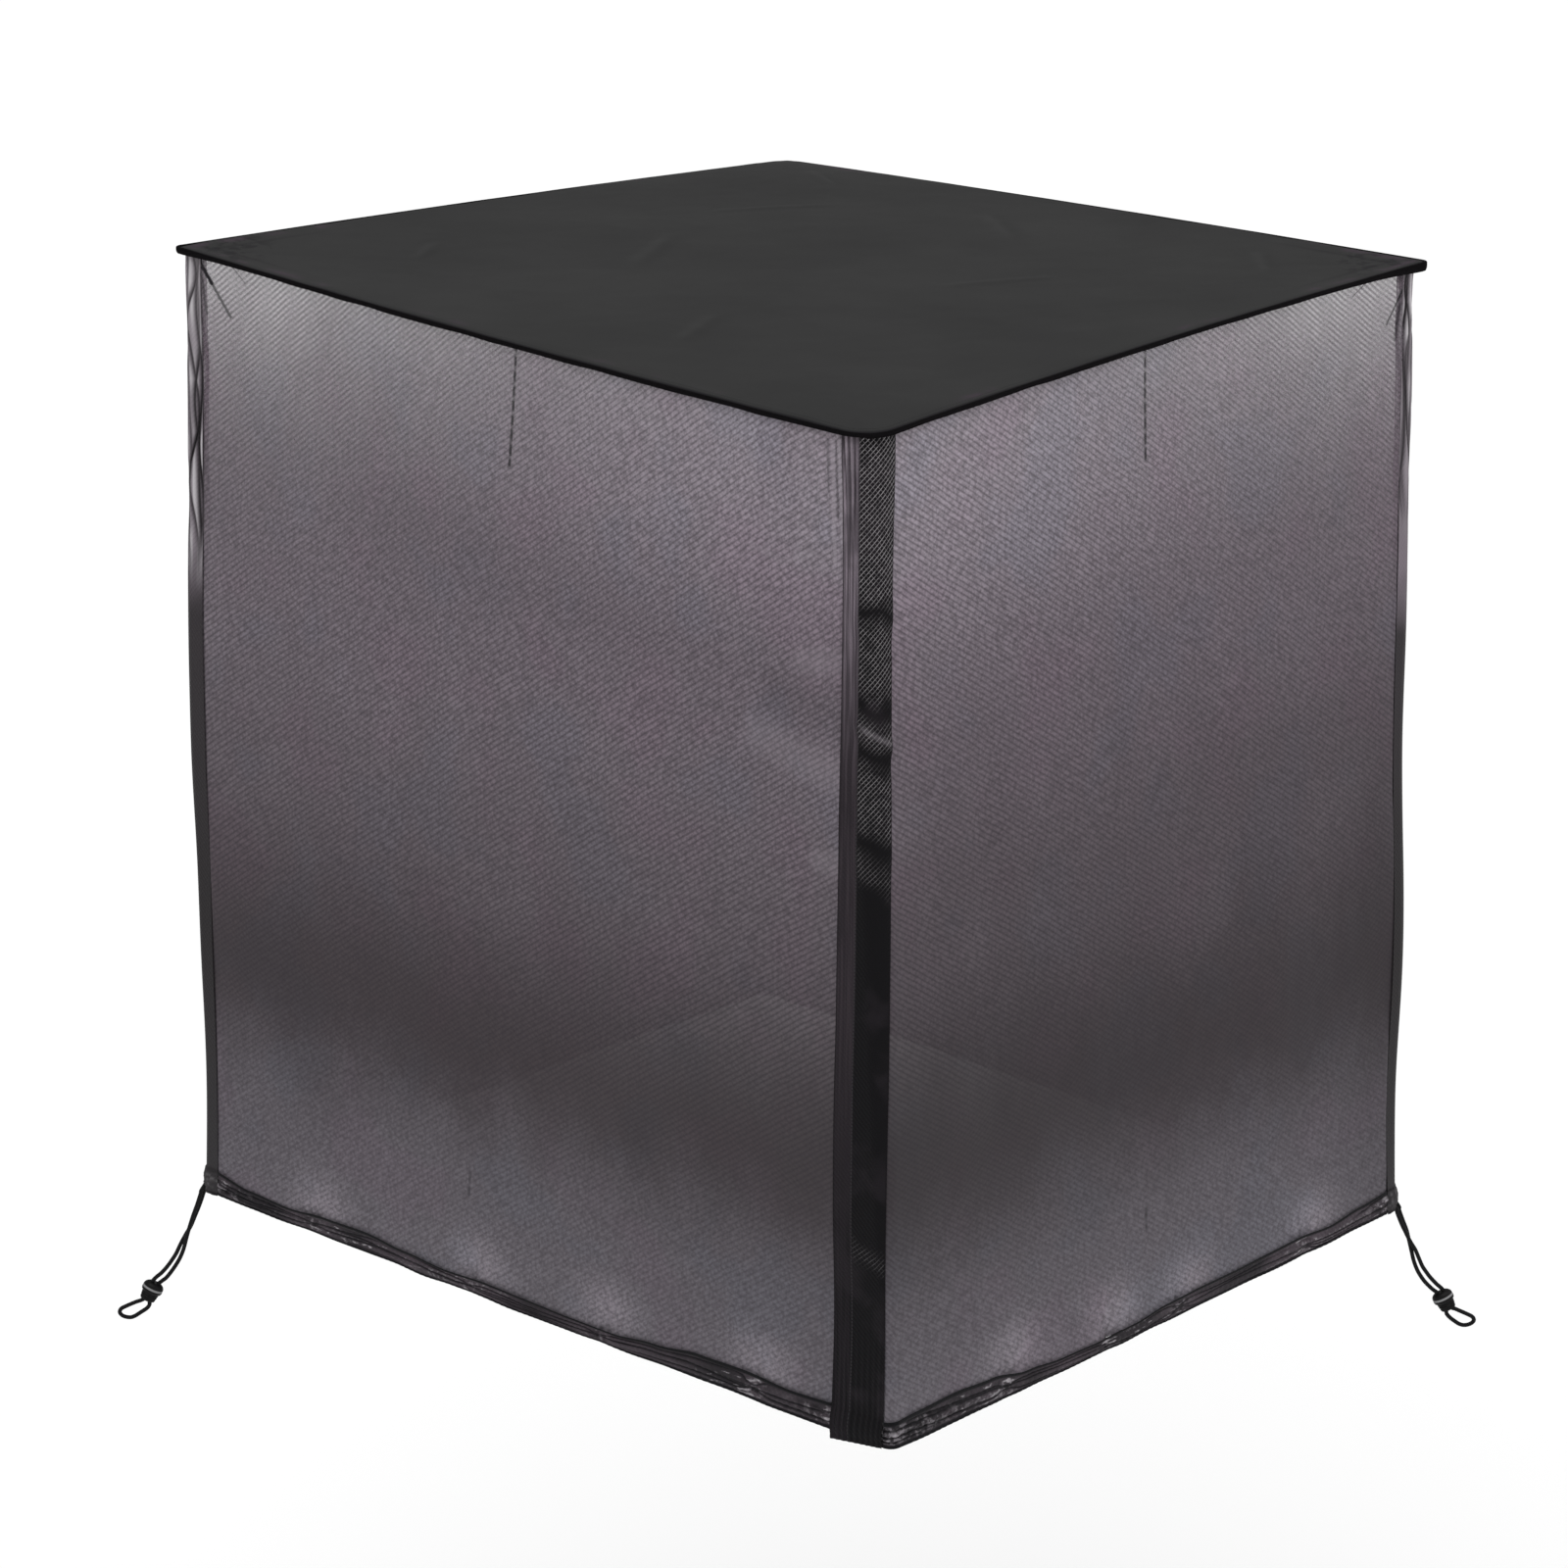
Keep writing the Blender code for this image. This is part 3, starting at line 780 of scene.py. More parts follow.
def net_material(name, side):
    """Fine dark net: slanting threads with small openings, closer towards the hem, its colour darkest low
    down as painted shade and paler near the top as painted light.
    """
    shader = Shader(name)
    u, v = shader.map()
    place = shader.place()
    wander = shader.noise(place, 22.0, 2.0) * 0.0050 + u
    first, second = shader.lattice(wander, v, NET_PITCH, NET_SLOPE[side])
    slow = shader.noise(shader.vector(u * 9.0, v * 2.6), 1.0, 4.0) - 0.5
    cloud = shader.noise(place, 19.0, 3.0) - 0.5
    rise = (v / HEIGHT).clamped()
    share = shader.math("POWER", rise, NET_OPEN_POWER) * (NET_OPEN_TOP - NET_OPEN_FOOT) + NET_OPEN_FOOT
    uneven = slow * 0.5 + cloud * 0.35 + 1.0
    twill = (first * -4.0 + 1.0) * NET_TWILL[side]
    weft = (second * -4.0 + 1.0) * NET_WEFT
    closer = 1.0 - shader.attribute("dense")
    open_share = share * uneven * (twill + weft + 1.0) * closer
    # dark is the seam's dart and tack together with painted shade along creases; light is painted highlight
    # along creases
    dark = shader.highest(seam_mask(shader, u, v, SEAMS[side]), shader.creases(u, v, PAINTED_CREASE_SHADE[side]))
    light = shader.creases(u, v, PAINTED_CREASE_LIGHT.get(side, []))
    # tone follows the height, with slow random variation; the ramp over it paints shade low down and light
    # near the top
    tone = (slow * 0.11 + cloud * 0.07 + rise).clamped()
    hue = shader.noise(place, 8.0, 2.0)
    threads = shader.span(first, 0.15, 0.5, 0.0, 0.54) * shader.span(v, 0.05, 0.40, 0.5, 1.0)
    grain = shader.span(shader.noise(place, 250.0, 4.0, 0.7), 0.34, 0.66, 0.0, 0.52)
    base = shader.layers(
        shader.ramp(tone, NET_COLOURS_AND_PAINTED_LIGHT),
        # painted light: random paler patches, the side's share of light, the pale top by the near corner and
        # the glow above the cinches
        (shader.attribute("fold"), (0.42, 0.374, 0.424)),
        (shader.span(hue, 0.52, 0.64), (0.96, 1.0, 1.02), "MULTIPLY"),
        (shader.span(hue, 0.36, 0.48, 1.0, 0.0), (1.03, 0.98, 1.01), "MULTIPLY"),
        (threads, (0.026, 0.021, 0.026)),
        (grain, (0.030, 0.025, 0.030)),
        # painted shade low down, by the near corner and in the fan of folds above the cinches
        (shader.attribute("edge"), (0.020, 0.018, 0.020)),
        (light, (0.30, 0.27, 0.30)),
        (dark, (0.010, 0.009, 0.011)),
    )
    return shader.finish(
        Base_Color=base,
        Roughness=0.7,
        Alpha=shader.highest((1.0 - open_share).clamped(), dark, light * 0.85),
        Specular_IOR_Level=0.08,
        Sheen_Weight=0.03,
        Sheen_Roughness=0.5,
        Normal=shader.bump(first + second, 0.0006, 0.4),
    )


def seam_mask(shader, u, v, seam):
    """A short dart at the middle of a side, from the top down, and its small tack above the hem."""
    start, slant, low = seam
    away = abs(u - ((v - HEIGHT) * slant + start))
    gather = shader.math("PINGPONG", v * SEAM_GATHERS, 1.0)
    near = shader.span(away, 0.0010, 0.0024, 1.0, 0.0) * shader.span(gather, 0.0, 0.5, 0.45, 1.0)
    upper = shader.span(v, low - 0.004, low, 0.0, 0.9)
    lower = shader.span(abs(v - TACK_HEIGHT), 0.010, 0.016, 0.45, 0.0)
    return near * shader.highest(upper, lower)


def near_strip_material():
    """Doubled net: near-black, with light hairlines where the two layers' openings line up, dark bands of
    painted shade under its buckles, painted highlights on its folds and painted shade in their troughs.
    """
    shader = Shader("strip_net_near")
    u, v = shader.map()
    place = shader.place()
    wander = shader.noise(place, 30.0, 2.0) * 0.0030 + u
    first, second = shader.lattice(wander, v, STRIP_PITCH, STRIP_SLOPE)
    wave = (shader.noise(place, 34.0, 4.0) - 0.5) * 0.034
    level = (u - 0.040) * 0.30 + v + wave
    windows = []
    for low, high, strength in STRIP_WINDOWS:
        lower = shader.span(level, low - 0.006, low + 0.016)
        upper = shader.span(level, high - 0.006, high + 0.016, 1.0, 0.0)
        windows.append(lower * upper * strength)
    shown = shader.highest(*windows) * shader.span(u, STRIP_FLAP, STRIP_FLAP + 0.003)
    speck = shader.span(shader.noise(place, 170.0, 2.0), 0.32, 0.62, 0.38, 1.0)
    thin = shader.span(second, 0.02, 0.16, 0.84, 0.0)
    cross = shader.span(first, 0.02, 0.13, 0.28, 0.0)
    hair = shader.highest(thin, cross) * (shown * speck)
    flap = shader.span(u, STRIP_FLAP - 0.002, STRIP_FLAP + 0.002, 1.0, 0.0)
    streak = shader.noise(shader.vector(u * 420.0, v * 9.0), 1.0, 3.0)
    stitch = shader.stitches(u - STRIP_FLAP, v, 0.0032, 0.0007)
    base = shader.layers(
        (0.0062, 0.0058, 0.0066),
        # the flap is darker low down and paler towards the top, painted shade and painted light as on the
        # nets
        (flap * shader.span(v, 0.10, 0.50), (0.034, 0.027, 0.032)),
        (flap * shader.span(v, 0.58, 0.90), (0.250, 0.210, 0.246)),
        (flap * shader.span(streak, 0.36, 0.60, 0.0, 0.72), (0.016, 0.013, 0.016)),
        (shader.span(shader.noise(place, 17.0, 3.0), 0.50, 0.66, 0.0, 0.5), (0.018, 0.015, 0.018)),
        # painted highlights on the ripples' crests and along a slanted buckle
        (shader.attribute("fold"), (0.20, 0.18, 0.20)),
        (hair, (0.34, 0.32, 0.33)),
        # painted shade in the ripples' troughs, and a dark line along both edges of the strip
        (shader.attribute("edge"), (0.006, 0.005, 0.006)),
        (stitch * 0.5, (0.045, 0.043, 0.046)),
    )
    return shader.finish(
        Base_Color=base,
        Roughness=0.6,
        Alpha=hair * -0.25 + 1.0,
        Specular_IOR_Level=0.035,
        Sheen_Weight=0.01,
        Sheen_Roughness=0.45,
        Normal=shader.bump(first + second, 0.0010, 0.6),
    )


def far_strip_material():
    """Doubled net drawn up in small loops: painted highlights on the swells between painted shade in the
    creases, plain and dark below.
    """
    shader = Shader("strip_net_far")
    u, v = shader.map()
    first, second = shader.lattice(u, v, STRIP_PITCH)
    rise = (v / HEIGHT).clamped()
    slow = shader.noise(shader.place(), 9.0, 3.0) - 0.5
    fold = shader.attribute("fold")
    edge = shader.attribute("edge")
    base = shader.layers(
        shader.ramp((slow * 0.12 + rise).clamped(), FAR_STRIP_COLOURS_AND_PAINTED_LIGHT),
        (shader.span(first, 0.2, 0.5, 0.0, 0.25), (0.026, 0.023, 0.026)),
        # painted highlights on the swells, painted shade in the creases and along the edges
        (fold, (0.60, 0.58, 0.60)),
        (edge, (0.005, 0.004, 0.005)),
    )
    clear = 1.0 - shader.highest(edge, fold)
    open_share = (first * -0.4 + 0.6) * shader.span(rise, 0.62, 1.0, 0.0, 0.45) * clear
    return shader.finish(
        Base_Color=base,
        Roughness=0.6,
        Alpha=(1.0 - open_share).clamped(),
        Specular_IOR_Level=0.06,
        Sheen_Weight=0.02,
        Sheen_Roughness=0.45,
        Normal=shader.bump(first + second, 0.0008, 0.5),
    )


def hem_material():
    """Gathered net casing: net-toned, black along both edges where it is doubled and partly in painted shade,
    with painted shade in its creases and painted glints on its crests and crumples.
    """
    shader = Shader("gathered_hem")
    u, v = shader.map()
    place = shader.place()
    weave = shader.highest(*shader.lattice(u, v, NET_PITCH))
    speck = shader.noise(place, 320.0, 3.0) - 0.5
    lit = (speck * 0.8 + shader.attribute("fold")).clamped()
    crush = shader.attribute("crush")
    knot = shader.noise(place, 120.0, 4.0, 0.6)
    base = shader.layers(
        (0.022, 0.019, 0.022),
        (shader.span(shader.noise(place, 11.0, 3.0), 0.35, 0.65), (0.066, 0.053, 0.063)),
        # painted highlights on the crests, broken by random specks
        (shader.span(lit, 0.24, 0.80), (0.32, 0.30, 0.32)),
        (shader.span(weave, 0.30, 0.5, 0.30, 0.0), (0.014, 0.013, 0.015)),
        # painted glints and painted shade among the crumples where the cloth is crushed
        (shader.span(knot, 0.52, 0.60) * crush * 0.60, (0.23, 0.21, 0.23)),
        (shader.span(knot, 0.38, 0.48, 1.0, 0.0) * crush * 0.85, (0.006, 0.005, 0.006)),
        # near-black rims, where the casing is doubled, partly in painted shade, and painted shade in the
        # lengthwise creases
        (shader.attribute("edge"), (0.003, 0.003, 0.004)),
    )
    return shader.finish(
        Base_Color=base,
        Roughness=0.55,
        Specular_IOR_Level=0.08,
        Sheen_Weight=0.02,
        Sheen_Roughness=0.4,
        Normal=shader.bump(weave, 0.0006, 0.4),
    )


def top_material():
    """Matt coated plain weave, faintly mottled, with stitches along its edge, a patchy painted highlight
    where the edge rolls over, and painted shade at the very rim, in creases and among crumples at two tips.
    """
    shader = Shader("top_cloth")
    u, v = shader.map()
    place = shader.place()
    across = shader.math("PINGPONG", u * TOP_THREADS, 0.5)
    along = shader.math("PINGPONG", v * TOP_THREADS, 0.5)
    slow = shader.noise(place, 5.0, 4.0)
    fine = shader.noise(place, 900.0, 2.0)
    rim = shader.attribute("rim")
    tip = shader.attribute("tip")
    fold = shader.attribute("fold")
    # painted highlight where the edge rolls over, shown in patches
    rolled_edge_highlight = shader.span(rim, 0.004, 0.007) * shader.span(rim, 0.010, 0.020, 1.0, 0.0)
    blotch = shader.span(shader.noise(place, 26.0, 3.0), 0.42, 0.60)
    patch = blotch * shader.highest(shader.span(slow, 0.50, 0.60), tip)
    # painted shade where the edge turns down, along a crease near each tip and among the tips' crumples
    dark = shader.span(rim, 0.0015, 0.0045, 0.85, 0.0)
    crease = shader.span(abs(rim - 0.027), 0.001, 0.005, 0.35, 0.0) * tip
    crumple = shader.span(shader.noise(place, 85.0, 3.0), 0.50, 0.60, 0.0, 0.55)
    crumple = crumple * shader.span(tip, 0.80, 0.97) * shader.span(rim, 0.004, 0.012)
    stitch = shader.stitches(rim - 0.0062, u + v, 0.0036, 0.0006)
    base = shader.layers(
        (0.024, 0.024, 0.0242),
        (shader.span(slow, 0.3, 0.7), (0.029, 0.029, 0.029)),
        (fine * 0.15, (0.044, 0.044, 0.044)),
        (rolled_edge_highlight * patch, (0.042, 0.033, 0.041)),
        # painted light on the creases' crests and painted shade in their hollows
        ((fold * 0.5).clamped(), (0.054, 0.054, 0.054)),
        ((fold * -0.5).clamped(), (0.012, 0.012, 0.012)),
        (shader.highest(dark, crease), (0.010, 0.009, 0.011)),
        (crumple, (0.010, 0.009, 0.011)),
        (stitch * 0.6, (0.012, 0.012, 0.012)),
    )
    return shader.finish(
        Base_Color=base,
        Roughness=0.85,
        Specular_IOR_Level=0.05,
        Sheen_Weight=0.01,
        Sheen_Roughness=0.6,
        Normal=shader.bump(across * along + fine * 0.3, 0.0003, 0.35),
    )


def tape_material():
    """Ribbed black tape."""
    shader = Shader("binding_tape")
    u, _ = shader.map()
    ribs = shader.math("PINGPONG", u * TAPE_RIBS, 0.5)
    fine = shader.noise(shader.place(), 500.0, 2.0)
    return shader.finish(
        Base_Color=shader.blend(fine, (0.002, 0.002, 0.002), (0.006, 0.005, 0.006)),
        Roughness=0.8,
        Specular_IOR_Level=0.02,
        Sheen_Weight=0.0,
        Normal=shader.bump(ribs + fine, 0.0004, 0.5),
    )


def cord_material():
    """Round braid: two families of strands running round the cord both ways."""
    shader = Shader("cord_braid")
    u, v = shader.map()
    strand = shader.math("MINIMUM", *shader.lattice(v, u, BRAID_PITCH))
    return shader.finish(
        Base_Color=shader.blend(shader.span(strand, 0.0, 0.35), (0.002, 0.002, 0.002), (0.008, 0.008, 0.009)),
        Roughness=0.7,
        Specular_IOR_Level=0.1,
        Sheen_Weight=0.03,
        Normal=shader.bump(strand, 0.0007, 0.8),
    )


def lock_material(name, head, along):
    """Satin black plastic, rubbed paler, with a painted highlight along the line where the button meets the
    barrel.
    """
    shader = Shader(name)
    place = shader.place()
    wear = shader.noise(place, 160.0, 4.0)
    away = shader.feed_all(shader.node("ShaderNodeVectorMath", operation="SUBTRACT"), (place, head))
    down = shader.node("ShaderNodeVectorMath", operation="DOT_PRODUCT")
    distance = abs(shader.feed_all(down, (away, along), "Value") - LOCK_LINE)
    base = shader.layers(
        (0.0025, 0.0025, 0.0025),
        (shader.span(wear, 0.5, 0.75), (0.008, 0.008, 0.0085)),
        # painted highlight along the parting line
        (shader.span(distance, 0.0007, 0.0013, 0.85, 0.0), (0.26, 0.26, 0.265)),
    )
    return shader.finish(
        Base_Color=base,
        Roughness=shader.span(wear, 0.3, 0.7, 0.42, 0.55),
        Specular_IOR_Level=0.12,
        Normal=shader.bump(shader.noise(place, 1400.0, 2.0), 0.0001, 0.3),
    )


# Net sides, hems and strips


def wall_sheet(columns, rows, find):
    """Points of a sheet on the walls, their outward normals, and a list of values at its points.

    find takes a column and a row. It gives a corner, reach, level and drop, and then the values.
    """
    points = np.zeros((columns + 1, rows + 1, 3))
    normals = np.zeros_like(points)
    values = []
    for column in range(columns + 1):
        for row in range(rows + 1):
            corner, reach, level, low, *found = find(column, row)
            points[column, row], normals[column, row] = wall_place(corner, reach, level, low)
            values.append(found)
    values = np.array(values, dtype=float).reshape(columns + 1, rows + 1, -1)
    return points, normals, np.moveaxis(values, -1, 0)


def side_wrinkles(name, along, height, span):
    """Outward offset in metres of a side's net, from where it is along the side and how high."""
    offset = NET_SLOW * noise2(along * 21.0, height * 13.0, 5)
    offset = offset + NET_FINE * noise2(along * 60.0, height * 40.0, 6)
    offset = offset * smooth(HEIGHT - height, 0.0, 0.12)
    start, slant, low = SEAMS[name]
    middle = start + (height - HEIGHT) * slant
    offset = offset - SEAM_DEPTH * hump(along, middle, SEAM_HALF) * smooth(height, low - 0.05, low + 0.02)
    if name == "left":
        # upright ripples beside the near corner's strip, a dent below them and a crease between
        near = span - along
        depth = hump(near, 0.040, 0.030) * smooth(height, 0.45, 0.80)
        lean = 0.004 * noise2(height * 9.0, along * 3.0, 8)
        offset = offset + RIPPLE_DEPTH * depth * np.cos((near + lean) * 2.0 * math.pi / RIPPLE_PITCH)
        dent = (along - DENT_PLACE[0]) * 0.20 + (height - DENT_PLACE[1])
        offset = offset - DENT_DEPTH * hump(dent, 0.0, 0.026) * hump(along, 0.81, 0.05)
        crease = height - CREASE_PLACE[1] + 0.010 * np.sin((along - CREASE_PLACE[0]) * 40.0)
        offset = offset + CREASE_DEPTH * hump(crease, 0.0, 0.004) * hump(along, 0.785, 0.035)
    offset = offset + corner_creases(name, along, height, span)
    for place, level in CINCHES[name]:
        offset = offset + pucker(along - place, height - level)
    return offset


def corner_creases(name, along, height, span):
    """Slanting creases that run down and inwards from a side's top corner."""
    far = along if name in ("left", "right") else span - along
    drop = HEIGHT - height
    first = hump((far - 0.020 - drop * 0.95) / 1.4, 0.0, 0.0035)
    second = hump((far - 0.030 - (drop - 0.03) * 0.25) / 1.1, 0.0, 0.004)
    first = CORNER_CREASE * first * between(drop, (-0.002, 0.012), (0.045, 0.075))
    return first + CORNER_CREASE_LOW * second * between(drop, (0.02, 0.05), (0.09, 0.16))


def pucker(across, up):
    """Fine folds that fan out upwards from where the drawcord pulls the hem in."""
    distance = np.sqrt(across**2 + up**2) + 1e-6
    turn = np.arctan2(across, np.maximum(up, 1e-5))
    fan = np.cos(turn * 9.0 + 1.0) * np.exp(-distance / 0.020) * smooth(distance, 0.0, 0.006)
    return (PUCKER_DEPTH * fan - DIMPLE_DEPTH * hump(distance, 0.0, 0.016)) * (up > -0.01)


def hem_fan(across, up):
    """Painted highlight as a broad pale glow above a drawn-in place of the hem, and painted shade in the fine
    dark folds that fan out of it.
    """
    up = np.maximum(up, 0.0005)
    glow = 0.34 * hump(across, 0.012, 0.034) * hump(up, 0.016, 0.028)
    turn = np.arctan2(across + 0.004, up + 0.006)
    reach = np.hypot(across, up)
    folds = 0.5 + 0.5 * np.cos(turn * 11.0 + 0.6 * noise2(up * 90.0, across * 60.0, 63))
    return glow, 0.60 * smooth(folds, 0.75, 1.0) * np.exp(-reach / 0.014)


def net_tones(name, across, height, span):
    """Painted light, painted shade and closer weave of a side's net, 0 to 1. The light is random paler
    patches, the side's share at middle height, the near corner's pale top and a glow above each cinch; the
    shade lies low down, by the near corner and in folds above each cinch.
    """
    side_painted_light, low = NET_PAINTED_LIGHT_AND_SHADE[name]
    corner = {"front": across, "left": span - across}.get(name, span + 9.0)
    near = fade(corner, 0.06, 0.75)
    cloud = noise2(across * 9.0, height * 7.0, 61) * noise2(across * 24.0, height * 16.0, 62)
    # painted light: random paler patches, the side's share of light at middle height and the pale top by the
    # near corner
    pale = 0.08 * np.clip(cloud, 0.0, 1.0) * smooth(height, 0.2, 0.5) + side_painted_light * hump(height, 0.55, 0.17)
    pale = np.maximum(pale, 0.62 * near * smooth(height, 0.62, 0.90))
    # painted shade low down, at the front's right end and by the near corner
    shade = low * hump(height, 0.27, 0.15)
    if name == "front":
        shade = shade + 0.22 * smooth(across, 0.60, 0.71) * fade(height, 0.35, 0.60)
    shade = shade + 0.26 * fade(corner, 0.05, 0.42) * hump(height, 0.29, 0.14)
    # painted glow above each cinch and painted shade in the folds that fan out of it
    for place, level in CINCHES[name]:
        glow, folds = hem_fan(across - place, height - level)
        pale = np.maximum(pale, glow)
        shade = np.maximum(shade, folds)
    return pale, shade, 0.65 * near * smooth(height, 0.3, 0.8)


def make_side(index):
    """The net of one side: a single open sheet whose foot is sewn into the hem casing."""
    name, _, _, _, columns, rows = SIDES[index]

    def find(column, row):
        share = column / columns
        share = mix(share, 0.5 - 0.5 * math.cos(math.pi * share), 0.3)
        rise = row / rows
        foot = hem_height(index, share) * NET_FOOT / HEIGHT
        level = mix(foot, 1.0, mix(rise, rise * rise, 0.25))
        corner, reach, along = side_place(index, share, level, NET_TUCK)
        corners, _ = wall_corners(level)
        span = (corners[(index + 1) % 4] - corners[index]).length
        return corner, reach, level, 0.0, along, level * HEIGHT, span

    points, normals, (along, height, span) = wall_sheet(columns, rows, find)
    offset = side_wrinkles(name, along, height, span)
    margin = np.minimum(np.arange(columns + 1), columns - np.arange(columns + 1))
    offset = np.where((margin < 2)[:, None], INNER_DEPTH, offset)
    points = points + normals * offset[..., None]
    # painted light, painted shade and closer weave of the net
    pale, shade, dense = net_tones(name, along, height, span)
    maps = np.stack([along, height], axis=-1)
    material = net_material(f"side_net_{name}", name)
    return grid_object(f"net_{name}", points, maps, material, fold=pale, edge=shade, dense=dense)


def hem_profile(rise):
    """Outward shape of the casing: a tight cord bead at the foot, a soft roll, and a raised lip."""
    bead = 0.55 * hump(rise, 0.07, 0.10)
    roll = np.clip(np.sin(math.pi * np.clip((rise - 0.10) / 0.86, 0.0, 1.0)), 0.0, 1.0) ** 0.6
    lip = 0.50 * hump(rise, 0.97, 0.05)
    return np.maximum(np.maximum(bead, roll), lip)


def hem_valleys(along, rises, pinch, seed):
    """How deep the hem's lengthwise creases are, 0 to 1."""
    flat = along * 0.0
    valley = np.zeros_like(along)
    for step, (middle, wander, rate, half) in enumerate(HEM_CREASES, 1):
        line = middle + wander * 1.6 * noise2(along * rate, flat, seed + step)
        line = mix(line, 0.5 + 0.25 * (line - 0.5), pinch)
        strength = smooth(noise2(along * 13.0, flat, seed + step + 20), -0.70, 0.05)
        valley = np.maximum(valley, hump(rises, line, half) * strength)
    return valley


def make_hem(index):
    """The gathered casing along one side, crushed unevenly along the drawcord inside it."""
    name = SIDES[index][0]

    def find(column, row):
        share = column / HEM_COLUMNS
        height = hem_height(index, share)
        hidden = row <= HEM_INNER_ROWS
        if hidden:
            rise = 0.9 * (1.0 - row / HEM_INNER_ROWS)
        else:
            rise = 1.04 * (row - HEM_INNER_ROWS) / HEM_OUTER_ROWS
        inner = hidden * (1.0 - 0.8 * (row == HEM_INNER_ROWS))
        level = height * rise / HEIGHT
        corner, reach, along = side_place(index, share, level, HEM_TUCK)
        return corner, reach, level, 0.0, along, height * rise + INNER_MAP * hidden, rise, inner

    found = wall_sheet(HEM_COLUMNS, HEM_OUTER_ROWS + HEM_INNER_ROWS, find)
    points, normals, (along, up, rises, inner) = found
    seed = 31 + index * 5
    flat = along * 0.0
    span = float(along.max())
    ends = hump(along, 0.0, 0.085) + hump(along, span, 0.04)
    pinch = sum(hump(along, place, 0.012) for place, _ in CINCHES[name])
    pinch = np.clip(pinch, 0.0, 1.0)
    within = between(rises, (0.10, 0.20), (0.86, 0.95))
    valley = hem_valleys(along, rises, pinch, seed)
    seed = seed + len(HEM_CREASES)
    crumple = ridges(along * 48.0, rises * 5.0 + 1.4 * noise2(along * 19.0, flat, seed + 3), seed + 4)
    fine = ridges(along * 120.0, rises * 9.0, seed + 5)
    crushed = np.clip(ends + 0.8 * pinch, 0.0, 1.0)
    knots = ridges(along * 110.0 + 1.3 * noise2(along * 60.0, rises * 4.0, seed + 13), rises * 4.0, seed + 12)
    tucked = fade(np.minimum(along - along.min(), span - along), 0.003, 0.009)
    swell = 0.80 + 0.50 * noise2(along * 15.0, flat, seed + 6)
    gather = np.cos(along * 2.0 * math.pi / HEM_GATHER_PITCH + 4.0 * noise2(along * 16.0, flat, seed + 7))
    rough = 0.45 + 0.85 * np.clip(ends + pinch, 0.0, 1.0)
    outer = HEM_BULGE * swell * hem_profile(rises) - HEM_VALLEY * valley * within
    outer = outer + within * rough * (HEM_CRUMPLE * (crumple - 0.5) + HEM_FINE * (fine - 0.5))
    outer = outer + HEM_GATHER * gather + within * crushed * HEM_KNOT * (knots - 0.5)
    outer = np.maximum(outer * (1.0 - 0.45 * pinch), HEM_LIP * smooth(rises, 0.78, 0.92))
    outer = mix(outer, HEM_TUCKED_IN, tucked)
    offset = np.where(inner > 0.0, INNER_DEPTH * inner, outer)
    points = points + normals * offset[..., None]
    wave = HEM_WAVE * noise2(along * 26.0, flat, seed + 8)
    points[..., 2] = points[..., 2] + wave * fade(rises, 0.0, 0.5)
    # painted light on the crests, rolls and knots; painted shade in the creases and near-black rims
    clear = within * (1.0 - valley)
    lit = clear * smooth(0.65 * crumple + 0.35 * fine, 0.45, 0.85)
    patches = 0.38 + 0.50 * noise2(along * 17.0, flat, seed + 9)
    lit = lit * np.clip(patches + 0.6 * np.clip(ends, 0.0, 1.0) + 0.6 * pinch, 0.0, 1.0)
    rolls = clear * smooth(noise2(along * 15.0, rises * 2.0, seed + 10), 0.0, 0.6)
    lit = np.maximum(lit, 0.36 * rolls)
    lit = np.maximum(lit, clear * crushed * smooth(knots, 0.68, 0.98) * 0.45)
    rims = np.maximum(smooth(rises, 0.88, 0.93), fade(rises, 0.11, 0.19))
    edge = np.maximum(rims, 0.95 * valley)
    crush = crushed * between(rises, (0.12, 0.25), (0.74, 0.86))
    maps = np.stack([along, up], axis=-1)
    lit = lit * (inner == 0.0)
    return grid_object(f"hem_{name}", points, maps, HEM_CLOTH, fold=lit, edge=edge, crush=crush)


def near_strip_folds(across, height):
    """Outward offset of the near corner's strip, the painted highlights where its folds catch the light, and
    the painted shade in their troughs.
    """
    slanted = height + STRIP_SLANT * across
    buckle = sum(depth * hump(height, middle, half) for middle, half, depth in LEVEL_BUCKLES)
    buckle = buckle + sum(depth * hump(slanted, middle, half) for middle, half, depth in SLANTED_BUCKLES)
    buckle = buckle * smooth(across, 0.0, STRIP_FLAP)
    slow = STRIP_SLOW * noise2(across * 30.0, height * 11.0, 71)
    turn = across * 2.0 * math.pi / STRIP_RIPPLE_PITCH
    ripple = np.cos(turn + 2.4 * noise2(height * 14.0, across * 30.0, 72))
    high = smooth(height, 0.78, 0.90) * fade(across, STRIP_FLAP - 0.004, STRIP_FLAP)
    low = fade(height, 0.01, 0.14) * 0.5
    offset = (buckle + slow) * smooth(HEIGHT - height, 0.0, 0.05)
    offset = offset + STRIP_RIPPLE * ripple * np.maximum(high, low)
    # painted highlight along a slanted buckle and on the ripples' crests, painted shade in their troughs
    glint = hump(slanted, 0.674, 0.0026) * smooth(across, STRIP_FLAP, STRIP_FLAP + 0.01) * 0.32
    lit = 0.30 * high * smooth(ripple, 0.0, 0.9) + 0.04 * low * smooth(ripple, 0.3, 0.9) + glint
    dark = 0.75 * high * smooth(-ripple, 0.3, 1.0)
    return offset, lit, dark


